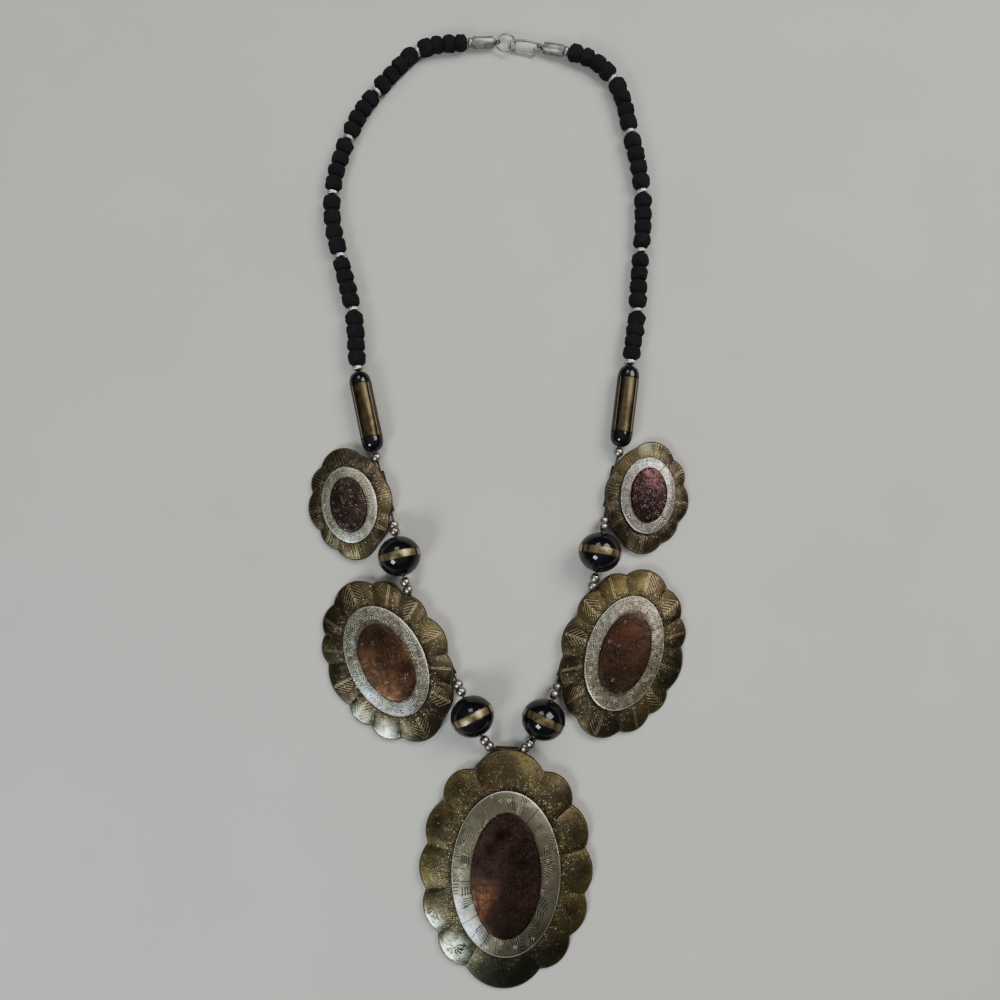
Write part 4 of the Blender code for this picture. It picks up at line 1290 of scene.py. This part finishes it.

# %% [markdown]
# The brass finish lays it all together. Under the cuts lie the clouds of two browns,
# golden, warm and dark patches, partly painted highlight and painted dark reflection,
# and a fine grain, then the painted reflection of the pale zones; over them the dark
# cuts, patina and painted shade beside the silver and in the furrows, and last the
# bright metal of fresh cuts, of punch marks and of the rubbed rim. The same masks make
# the finest relief.

# %% Finish of the brass sheet
def engraved_brass(name, kind, size, brown, khaki, seed):
    """Antiqued brass with its motif; size is the width of a lobe in mm."""
    f = Finish(name, 1.0, 0.3, 0.2)
    u, v, _ = f.uv("leaf")
    hollow, furrow, inner, lobe = [f.stored(word) for word in ("hollow", "furrow", "inner", "lobe")]
    gold, warm, deep, pale = [f.stored(word) for word in ("gold", "warm", "dark", "pale")]
    light, dark = MOTIFS[kind.motif](f, u, v, size, lobe)
    busy = f.level(f.noise(0.28, 2) + inner * 0.22 + furrow * 0.3, 0.46, 0.72)
    short = combs(f, *f.first_two(f.place), 1.15, 0.56, 0.80, seed) * busy
    punch = specks(f, 1.15, 0.30) * f.level(f.noise(0.5, 2) + inner * 0.25, 0.50, 0.66)
    soot = (specks(f, 1.6, 0.34, f.moved(f.place, (7.0, 3.0, 0.0)))
            * f.level(f.noise(0.45, 3) + inner * 0.18, 0.50, 0.68))
    grain = f.noise(2.3, 4, roughness=0.7)
    # painted reflection: greenish white where the pale zones lie
    painted_window_reflection = pale * f.level(f.noise(0.42, 4), 0.36, 0.56, 0.30, 1.0)
    glint = f.level(f.noise(1.0, 3), 0.40, 0.66, 0.15, 0.85)
    fresh = (light + short * glint * 0.55 + punch * glint) * (1 - deep * 0.8 - pale * 0.5)
    f.set("Base Color", f.coats(
        brown,
        (f.level(f.noise(0.13, 5), 0.38, 0.62), khaki),
        # gold zones: painted highlights at the tops of mid_right and small_right, golden patches
        # elsewhere
        (gold * 0.85, (0.135, 0.108, 0.036)),
        (warm * 0.8, (0.105, 0.058, 0.033)),
        (f.level(f.noise(0.75, 4), 0.48, 0.72) * 0.50, (0.026, 0.018, 0.011)),
        (f.level(grain, 0.50, 0.68) * 0.70, times(brown, 0.35)),
        (f.near(grain, 0.30, 0.46) * 0.45, times(khaki, 2.0)),
        # dark zones: painted dark reflection at the bottom of the centre plaque, darker patches
        # elsewhere
        (deep * 0.92, (0.012, 0.013, 0.009)),
        (painted_window_reflection, (0.70, 0.82, 0.64)),
        (dark * (1 - pale * 0.35), (0.009, 0.007, 0.005)),
        # patina and painted shade beside the silver and in the furrows
        (hollow * 0.75 + furrow * 0.40, (0.018, 0.014, 0.009)),
        (soot * 0.75, (0.016, 0.012, 0.008)),
        (fresh, (0.31, 0.25, 0.15)),
        (f.near(abs(v - 0.30), 0.04, 0.18) * 0.35, (0.26, 0.22, 0.14))))
    f.set("Metallic", pale * 0.15 + light * 0.15 + 0.80)
    f.set("Roughness", f.noise(0.9, 3) * 0.30 + hollow * 0.2 - pale * 0.22 + 0.27)
    f.relief(0.5 + light * 0.35 - dark * 0.25 + short * 0.30 + punch * 0.35 - soot * 0.35
             + f.noise(0.8, 4) * 0.45, 0.11, 0.9)
    return f.material


# %% [markdown]
# ### The ovals
#
# The silver is paler and flatter. On the centre plaque it is engraved with long
# strokes that point to the middle and with a few dark combs; on the side plaques the
# combs crowd together all over it. The copper carries the clouds of heat and age, and
# on the small plaques it is full of bright nicks.

# %% Shape of an oval
ROLL_DROP, ROLL_WIDE = 0.16, 0.22
FLAT_PITCH, FLAT_DEEP = 4.0, 0.12


def oval(node, half, inner, rise, finish, slot, zones, columns, rows):
    """An oval sheet: upright edge, rolled rim and a dome that ends at its seat."""
    middle, own = oval_frame(node)
    angle = 2 * np.pi * np.arange(columns) / columns
    edge, seat = ellipse(half, angle), ellipse(inner, angle)
    t = (np.linspace(0, 1, rows) ** 0.9)[:, None]
    flat = across_ring(edge, seat, t)
    reach = np.linalg.norm(edge - seat, axis=1)
    z = OVAL_EDGE + rise * (1 - (1 - t) ** 1.6) + 0 * angle
    z -= ROLL_DROP * bell(t * reach, ROLL_WIDE)
    z += FLAT_DEEP * dents(flat, FLAT_PITCH, 9.0) * fade(t, 0.05, 0.4)
    foot = lifted(edge[None], np.zeros((1, columns)))
    world = middle + np.concatenate([lifted(flat, z)[::-1], foot]) @ own
    step = np.linalg.norm(np.roll(edge, -1, axis=0) - edge, axis=1)
    run = np.concatenate([[0], np.cumsum(step)])
    run = run * round(run[-1]) / run[-1]
    inward = np.concatenate([(t * reach)[::-1], -0.5 + np.zeros((1, columns))])
    start = np.stack([run[:-1] + np.zeros_like(inward), inward], axis=2)
    end = np.stack([run[1:] + np.zeros_like(inward), np.roll(inward, -1, axis=1)], axis=2)
    mesh = ring_mesh(node, world, start, end, uv_name="round", sharp=60)
    store_zones(mesh, world, middle, zones)
    piece(f"{node}_sheet", mesh, finish, slot, node)


print("half sizes of the silver ovals in mm:",
      {name: np.round(half_of(kind, kind.silver), 1).tolist() for name, kind in KINDS.items()})

# %% [markdown]
# The silver's own map runs once round the oval and inwards, so that strokes can point
# to the middle. Each stroke of the centre plaque takes its lean and its two ends from
# white noise, and dirt stays in it. The rolled rim is rubbed bright.

# %% Finish of the silver
def engraved_silver(name, wide, cell, pitch, fill, ray_step, tone, seed):
    """Oxidised silver; wide is the width of the oval band in mm."""
    f = Finish(name, 1.0, 0.3, 0.2)
    run, inward, _ = f.uv("round")
    strokes = combs(f, run, inward, cell, pitch, fill, seed)
    small = combs(f, *f.first_two(f.place), 1.1, 0.56, fill * 1.4 - 0.5, seed + 4)
    number = f.node("ShaderNodeMath", {"operation": "FLOOR"}, {0: run / ray_step})
    chance = f.node("ShaderNodeTexWhiteNoise", {"noise_dimensions": "1D"}, {"W": number + seed})
    local = run / ray_step % 1.0 * ray_step
    lean = (chance - 0.5) * 0.3
    ray = f.near(abs(local - 0.5 * ray_step - (inward - wide / 2) * lean), 0.05, 0.15)
    ray = ray * (inward > (chance * 5.0 % 1.0) * 0.5 * wide)
    ray = ray * (inward < wide - (chance * 9.0 % 1.0) * 0.4 * wide)
    fog = f.level(f.noise(0.16, 4), 0.35, 0.70)
    pits = specks(f, 1.1, 0.22) * f.level(f.noise(0.6, 2), 0.45, 0.62)
    f.set("Base Color", f.coats(
        tone,
        (fog, times(tone, 0.70)),
        # dark zones: painted dark reflection at the bottom and lower right of the centre silver,
        # darker patches elsewhere
        (f.stored("dark") * 0.85, times(tone, 0.28)),
        # painted reflection: bluish white where the pale zones lie
        (f.stored("pale") * 0.85, (0.44, 0.50, 0.56)),
        (f.level(f.noise(2.2, 3), 0.54, 0.68) * 0.40, times(tone, 0.45)),
        (pits * 0.8, (0.05, 0.045, 0.04)),
        (small * 0.45, (0.52, 0.50, 0.42)),
        (strokes * 0.78 + ray * 0.80, times(tone, 0.12)),
        (f.near(abs(inward - 0.30), 0.04, 0.17) * 0.65, (0.60, 0.59, 0.52)),
        # dark line along the outer edge and beside the copper: partly patina, partly painted shade
        (f.near(inward, 0.0, 0.14) + f.level(inward, wide - 0.25, wide) * 0.6,
         (0.025, 0.02, 0.015))))
    f.set("Metallic", 0.95 - fog * 0.20)
    f.set("Roughness", f.noise(1.3, 3) * 0.28 + fog * 0.12 + 0.20)
    f.relief(0.6 - strokes * 0.5 + small * 0.25 - ray * 0.4 - pits * 0.3 + f.noise(1.6, 4) * 0.4,
             0.10, 0.9)
    return f.material


# %% [markdown]
# Copper darkens in clouds. Two colours drift into each other, a bright colour is laid on
# where a gold zone says so, partly bright metal and partly painted reflection and
# painted highlight, and blotches and flecks lie on top. A ragged dark line runs round
# its edge, partly dirt that was never cleaned off and partly painted shade where it sits
# on the silver.

# %% Finish of the copper
def aged_copper(name, deep, warm, bright, nicks, seed):
    """Darkened copper; nicks is how much of it is covered by bright strokes."""
    f = Finish(name, 1.0, 0.4, 0.15)
    inward = f.uv("round")[1]
    elsewhere = f.moved(f.place, (seed * 13.0, 0, 0))
    cloud = f.level(f.noise(0.17, 5, elsewhere, 0.6), 0.38, 0.64)
    blotch = f.level(f.noise(0.45, 4, elsewhere, 0.6), 0.50, 0.68)
    fleck = f.level(f.noise(1.9, 4, elsewhere, 0.65), 0.48, 0.66)
    # bright colour of the gold zones: partly bright metal, partly painted reflection and painted
    # highlight
    bright_metal_and_reflection = f.stored("gold") * f.level(f.noise(0.55, 4, elsewhere, 0.6), 0.36, 0.60)
    strokes = (combs(f, *f.first_two(f.place), 1.05, 0.58, nicks * 0.6, seed)
               * f.level(f.noise(0.8, 2), 0.35, 0.6))
    dots = specks(f, 1.7, 0.26) * f.level(f.noise(1.4, 3), 0.34, 0.56) * nicks
    ragged = inward + f.noise(1.1, 2) * 0.9 - 0.45
    red, green, blue = bright
    f.set("Base Color", f.coats(
        deep,
        (cloud, warm),
        (bright_metal_and_reflection, bright),
        (f.stored("warm") * 0.8, (red * 0.6, green * 0.35, blue * 0.45)),
        (blotch * 0.55, times(deep, 0.4)),
        (fleck * 0.40, times(warm, 1.9)),
        # dark zones: painted dark reflection at the bottom of the centre copper, blotches elsewhere
        (f.stored("dark") * 0.85, times(deep, 0.3)),
        (strokes * 0.38 + dots * 1.5, (0.28, 0.22, 0.20)),
        # ragged dark edge: partly dirt, partly painted shade where the copper sits on the silver
        (f.near(ragged, -0.05, 0.35) * 0.9, (0.010, 0.007, 0.006))))
    f.set("Metallic", 0.90 - blotch * 0.25)
    f.set("Roughness", f.noise(0.8, 4) * 0.30 + blotch * 0.15 + 0.26)
    f.relief(f.noise(0.9, 5) * 0.6 + fleck * 0.3 + strokes * 0.5 + dots * 0.4, 0.12, 0.8)
    return f.material


# %% [markdown]
# ### Five plaques, five looks
#
# The tables below are what makes the five plaques differ. In a zone, the first three
# numbers are its place from the plaque's middle and its size, all in mm, and the last
# is how strongly it shows.

# %% Zones of each plaque's brass, silver and copper
# Painted light among the brass zones: the pale zones are painted reflection of the window light on
# the lower-left lobes, and a painted highlight at the top of small_right; the small gold zone at
# the top of mid_right and the top gold zone of small_right are painted highlights; the large dark
# zone at the bottom of the centre plaque is painted dark reflection. The other zones only darken,
# gild or redden the brass.
BRASS_ZONES = {
    "centre": {"dark": [(1, -28.5, 10, 1.8), (-11, -17.5, 3.5, 0.7), (-17, -6.5, 3.5, 0.45),
                        (-2.3, 25, 4.5, 0.3), (15, -21, 6, 0.35)],
               "warm": [(-2.5, 22.5, 4, 0.6), (-6.5, 29.5, 2.5, 0.7)],
               "gold": [(-14, 20, 6, 0.55), (-20.5, 0, 5, 0.4), (21, -4, 4.5, 0.55),
                        (20.5, -12, 4, 0.5), (2, 30, 3.5, 0.45)],
               "pale": [(-20.5, -13.5, 2.5, 0.85), (-14.5, -21.5, 3.3, 1)]},
    "mid_left": {"pale": [(-8.5, -15.5, 2.8, 0.55), (0, -20.5, 3, 0.6)],
                 "dark": [(11, -20.5, 4, 0.75), (-16.5, 8, 5, 0.45), (-15.5, -1, 4, 0.45)],
                 "gold": [(12, 8, 2.6, 0.7), (-5, 19.5, 5, 0.3), (-17, 4, 2.2, 0.5)]},
    "mid_right": {"gold": [(6, 19, 1.8, 0.9), (-3, 18, 5, 0.6), (-9, 11, 4, 0.5),
                           (8, -15, 5.5, 0.45)],
                  "dark": [(15, -2, 6, 0.75), (13.5, -8.5, 4, 0.6), (-13, -1, 3, 0.45),
                           (-7, -19, 5, 0.5)]},
    "small_left": {"dark": [(-2, 13.5, 5, 0.6), (-11, 1, 3.5, 0.4)],
                   "gold": [(11, 1.5, 4, 0.45), (2, -14, 4.5, 0.35)]},
    "small_right": {"gold": [(0, 13.5, 3.6, 0.9), (-8, 8.5, 3.5, 0.7)],
                    "pale": [(0, 15, 2.2, 0.3)],
                    "dark": [(9, -8.5, 5, 0.5)],
                    "warm": [(-3, -14, 4, 0.35), (-11, -1, 3, 0.3)]},
}
# On the silver the pale zones are a bluish painted reflection and painted highlight, and the dark
# zones at the bottom and lower right of the centre plaque are painted dark reflection; the other
# dark zones only darken it.
SILVER_ZONES = {
    "centre": {"pale": [(-11, -15.5, 4, 0.75), (-14, -8.5, 3, 0.35)],
               "dark": [(0, -22, 6.5, 0.8), (9.5, -17.5, 6, 0.55), (-13, 2, 6, 0.35),
                        (-4, 19, 3.5, 0.3)]},
    "mid_left": {"pale": [(-5, -9.5, 3.5, 0.75), (5.5, -13.5, 2.5, 0.5)]},
    "mid_right": {"pale": [(-5, 9, 4, 0.15)],
                  "dark": [(7, -4, 4, 0.2)]},
    "small_left": {"pale": [(1, -9.5, 3.5, 0.4)],
                   "dark": [(-4.5, 7, 3, 0.2)]},
    "small_right": {"pale": [(0, 9.5, 3, 0.6)],
                    "dark": [(-5, -5, 4, 0.1)]},
}
# On the copper the gold zone on the lower left of the centre plaque is painted reflection, the top
# gold zone of small_right is a painted highlight, and the large dark zone at the bottom of the
# centre plaque is painted dark reflection; the other zones only brighten, darken or redden it.
COPPER_ZONES = {
    "centre": {"gold": [(-5.8, -5.2, 2.8, 0.95)],
               "warm": [(-6, -9, 1.4, 0.9)],
               "dark": [(1, -14, 6.5, 0.75), (-1.2, 10.6, 1.9, 1), (-4.2, 7.2, 1.5, 0.9),
                        (4.6, 3.2, 1.8, 0.9), (2, 6.8, 1.3, 0.6), (-5, 1.5, 1.4, 0.5)]},
    "mid_left": {"dark": [(-2.5, 8, 4, 0.7), (6, -1, 2.4, 0.8)],
                 "gold": [(-4.5, -0.5, 2.8, 0.7), (0.5, -7, 3.5, 0.85)]},
    "mid_right": {"warm": [(0.5, 5.4, 2.6, 0.8)],
                  "dark": [(-2.5, -6, 4, 0.6)],
                  "gold": [(4.5, -2, 2.5, 0.3)]},
    "small_left": {"warm": [(0, 0, 3, 0.2)],
                   "dark": [(-2, -4, 2.5, 0.4)]},
    "small_right": {"gold": [(0.5, 6.2, 2.1, 1), (2.5, 2.5, 1.8, 0.3)],
                    "dark": [(0, -5, 3.5, 0.45)]},
}
print("patches on the brass:", {name: sum(map(len, zones.values()))
                                for name, zones in BRASS_ZONES.items()})

# %% [markdown]
# A colour is what that metal reflects, and most of these are low, because antiqued
# metal reflects little. Brass has a brown and a paler khaki that drift into each
# other. Silver adds how its short cuts are laid. Copper has three tones and nicks.

# %% Colours of each plaque
BROWNS = {"centre": ((0.028, 0.0195, 0.01), (0.054, 0.044, 0.0185)),
          "mid_left": ((0.024, 0.017, 0.0105), (0.043, 0.034, 0.0185)),
          "mid_right": ((0.025, 0.017, 0.009), (0.047, 0.034, 0.016)),
          "small_left": ((0.019, 0.014, 0.009), (0.034, 0.027, 0.016)),
          "small_right": ((0.026, 0.018, 0.013), (0.045, 0.033, 0.022))}

Cuts = namedtuple("Cuts", "cell pitch fill ray_step tone")
SILVERS = {"centre": Cuts(3.3, 0.72, 0.40, 3.9, (0.143, 0.129, 0.090)),
           "mid_left": Cuts(1.55, 0.62, 0.85, 6.1, (0.164, 0.155, 0.119)),
           "mid_right": Cuts(1.50, 0.62, 0.70, 6.6, (0.200, 0.173, 0.124)),
           "small_left": Cuts(1.25, 0.60, 0.85, 9.0, (0.257, 0.242, 0.181)),
           "small_right": Cuts(1.25, 0.60, 0.80, 9.0, (0.271, 0.230, 0.205))}

Copper = namedtuple("Copper", "deep warm bright nicks")
COPPERS = {
    "centre": Copper((0.015, 0.008, 0.007), (0.034, 0.018, 0.013),
                     (0.130, 0.059, 0.028), 0.0),
    "mid_left": Copper((0.025, 0.014, 0.0095), (0.067, 0.033, 0.019),
                       (0.166, 0.085, 0.042), 0.06),
    "mid_right": Copper((0.023, 0.0135, 0.009), (0.046, 0.025, 0.015),
                        (0.097, 0.032, 0.023), 0.08),
    "small_left": Copper((0.018, 0.012, 0.01), (0.033, 0.021, 0.017),
                         (0.052, 0.030, 0.025), 0.45),
    "small_right": Copper((0.015, 0.0075, 0.0085), (0.029, 0.0135, 0.014),
                          (0.167, 0.064, 0.065), 0.50),
}
print("share of each copper that is nicked:",
      {name: copper.nicks for name, copper in COPPERS.items()})

# %% [markdown]
# ### Making the plaques
#
# Every plaque is made by the same steps: the finish and the sheet of each metal, and
# then the tube soldered to its back, which carries it on the thread. Grids are finer
# where a lobe has more relief. The copper's dome closes in a tiny oval, not a point.

# %% Make the plaques
GRIDS = {"centre": (56, 46), "mid": (48, 38), "small": (56, 32)}
LOBE_WIDTH = {"centre": 11.4, "mid": 8.4, "small": 8.6}
SILVER_GRID, COPPER_GRID = (240, 22), (144, 26)
COPPER_TOP = (0.01, 0.015)


def sheets(name, kind, number):
    """Brass, silver and copper of one plaque."""
    silver_half, copper_half = half_of(kind, kind.silver), half_of(kind, kind.copper)
    _, silver_rise, copper_rise = [share * kind.half[0] for share in kind.rises]
    brass = engraved_brass(f"{name}_chased_brass", kind, LOBE_WIDTH[PLAQUES[name].kind],
                           *BROWNS[name], number)
    brass_sheet(name, brass, BRASS_ZONES[name], *GRIDS[PLAQUES[name].kind])
    silver = engraved_silver(f"{name}_cut_silver", silver_half[0] - copper_half[0] * SEAT,
                             *SILVERS[name], number)
    oval(f"{name}_silver_oval", silver_half, times(copper_half, SEAT), silver_rise, silver,
         "aged_silver", SILVER_ZONES[name], *SILVER_GRID)
    copper = aged_copper(f"{name}_old_copper", *COPPERS[name], number)
    oval(f"{name}_copper_oval", copper_half, COPPER_TOP, copper_rise, copper,
         "aged_copper", COPPER_ZONES[name], *COPPER_GRID)


def back_tube(name, spec, kind):
    """The tube on the back, open at both ends, with a worn lip."""
    origin, own = plaque_frame(name)
    turn = math.radians(kind.tube_turn)
    middle = np.array((spec.side * kind.tube_at[0] * kind.half[0],
                       kind.tube_at[1] * kind.half[1], SOLDER - BACK_TUBE_R))
    down = np.array((spec.side * math.sin(turn), -math.cos(turn), 0))
    tube = Place(origin + middle @ own, *upright(down @ own), kind.tube_l, BACK_TUBE_R)
    end, lip = kind.tube_l / 2, 0.08
    wall = mirrored([(end - lip, 1.08), (end, 1.02), (end, BORE)])
    piece(f"{name}_back_tube", turned(tube, wall, 40), tube_brass, "antique_brass")


for number, (name, spec) in enumerate(PLAQUES.items()):
    sheets(name, KINDS[spec.kind], number)
    back_tube(name, spec, KINDS[spec.kind])
print("pieces:", len(made), "faces:", sum(made))

# %% [markdown]
# ## Floor, light and camera
#
# The necklace lies on a plain pale floor. It is a stage and no piece of the necklace,
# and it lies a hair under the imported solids, so that nothing sinks into it.

# %% Floor
floor = Finish("pale_floor", 0.0, 0.75)
mottle = floor.noise(0.02, 3)
floor.set("Base Color", floor.blend(mottle, (0.36, 0.35, 0.325), (0.42, 0.41, 0.385)))
floor.relief(floor.noise(0.8, 3), 0.05, 0.3)
FLOOR_SIZE, FLOOR_Z = 6, -0.0002
bpy.ops.mesh.primitive_plane_add(size=FLOOR_SIZE, location=(0, 0, FLOOR_Z))
ground = bpy.context.object
ground.name = "floor"
ground.data.materials.append(floor.material)
print("floor:", FLOOR_SIZE, "m wide")

# %% [markdown]
# Metal shows what is round it, so the light is a few soft squares before a dim sky:
# a large one from the upper right throws short shadows to the left, a cooler one low
# on the left shines back from the lobes that face it, and a weak one comes from
# above. The sky is paler overhead, which the domed sheets reflect.

# %% Light
BIB = Vector((0, -0.03, 0))


def panel(name, toward, distance, size, power, colour):
    """Square soft light in a direction from the middle of the bib, facing it."""
    light = bpy.data.lights.new(name, "AREA")
    light.size, light.energy, light.color = size, power, colour
    lamp = bpy.data.objects.new(name, light)
    bpy.context.scene.collection.objects.link(lamp)
    aim = Vector(toward).normalized()
    lamp.location = BIB + aim * distance
    lamp.rotation_euler = aim.to_track_quat("Z", "Y").to_euler()


panel("key", (0.75, 0.55, 1.0), distance=0.9, size=0.50, power=7.8, colour=(1.0, 0.98, 0.94))
panel("window", (-0.48, -0.62, 0.66), distance=0.8, size=0.26, power=5.5,
      colour=(0.86, 0.97, 1.0))
panel("top", (-0.25, 0.9, 1.1), distance=1.0, size=0.35, power=2.2, colour=(0.95, 0.98, 1.0))

world = bpy.data.worlds.new("studio")
world.use_nodes = True
bpy.context.scene.world = world
sky = world.node_tree
facing = add_node(sky, "ShaderNodeTexCoord", out=0)
height = add_node(sky, "ShaderNodeSeparateXYZ", {}, {0: facing}, out=2)
SKY = [(0.0, (0.07, 0.07, 0.07)), (0.45, (0.12, 0.12, 0.12)), (1.0, (0.43, 0.425, 0.40))]
shade = add_node(sky, "ShaderNodeValToRGB", {"stops": SKY}, {0: height})
sky.links.new(shade.socket, sky.nodes["Background"].inputs[0])
sky.nodes["Background"].inputs[1].default_value = 1.0
print("sky stops:", len(SKY))

# %% [markdown]
# The camera looks almost straight down, tilted a little towards the drop, from about
# a hand's reach away with a slightly wide lens.

# %% Camera
CENTER = Vector((0.41, -6.9, 0.0)) * MM
TILT = math.radians(8.5)
DISTANCE = 0.2713
camera = bpy.data.objects.new("camera", bpy.data.cameras.new("camera"))
bpy.context.scene.collection.objects.link(camera)
camera.data.lens = 34
camera.data.sensor_width = 36
camera.data.clip_start = 0.01
back = Vector((0, -math.sin(TILT), math.cos(TILT)))
camera.location = CENTER + back * DISTANCE
camera.rotation_euler = back.to_track_quat("Z", "Y").to_euler()
bpy.context.scene.camera = camera
print("camera height:", round(camera.location.z * 1000), "mm")
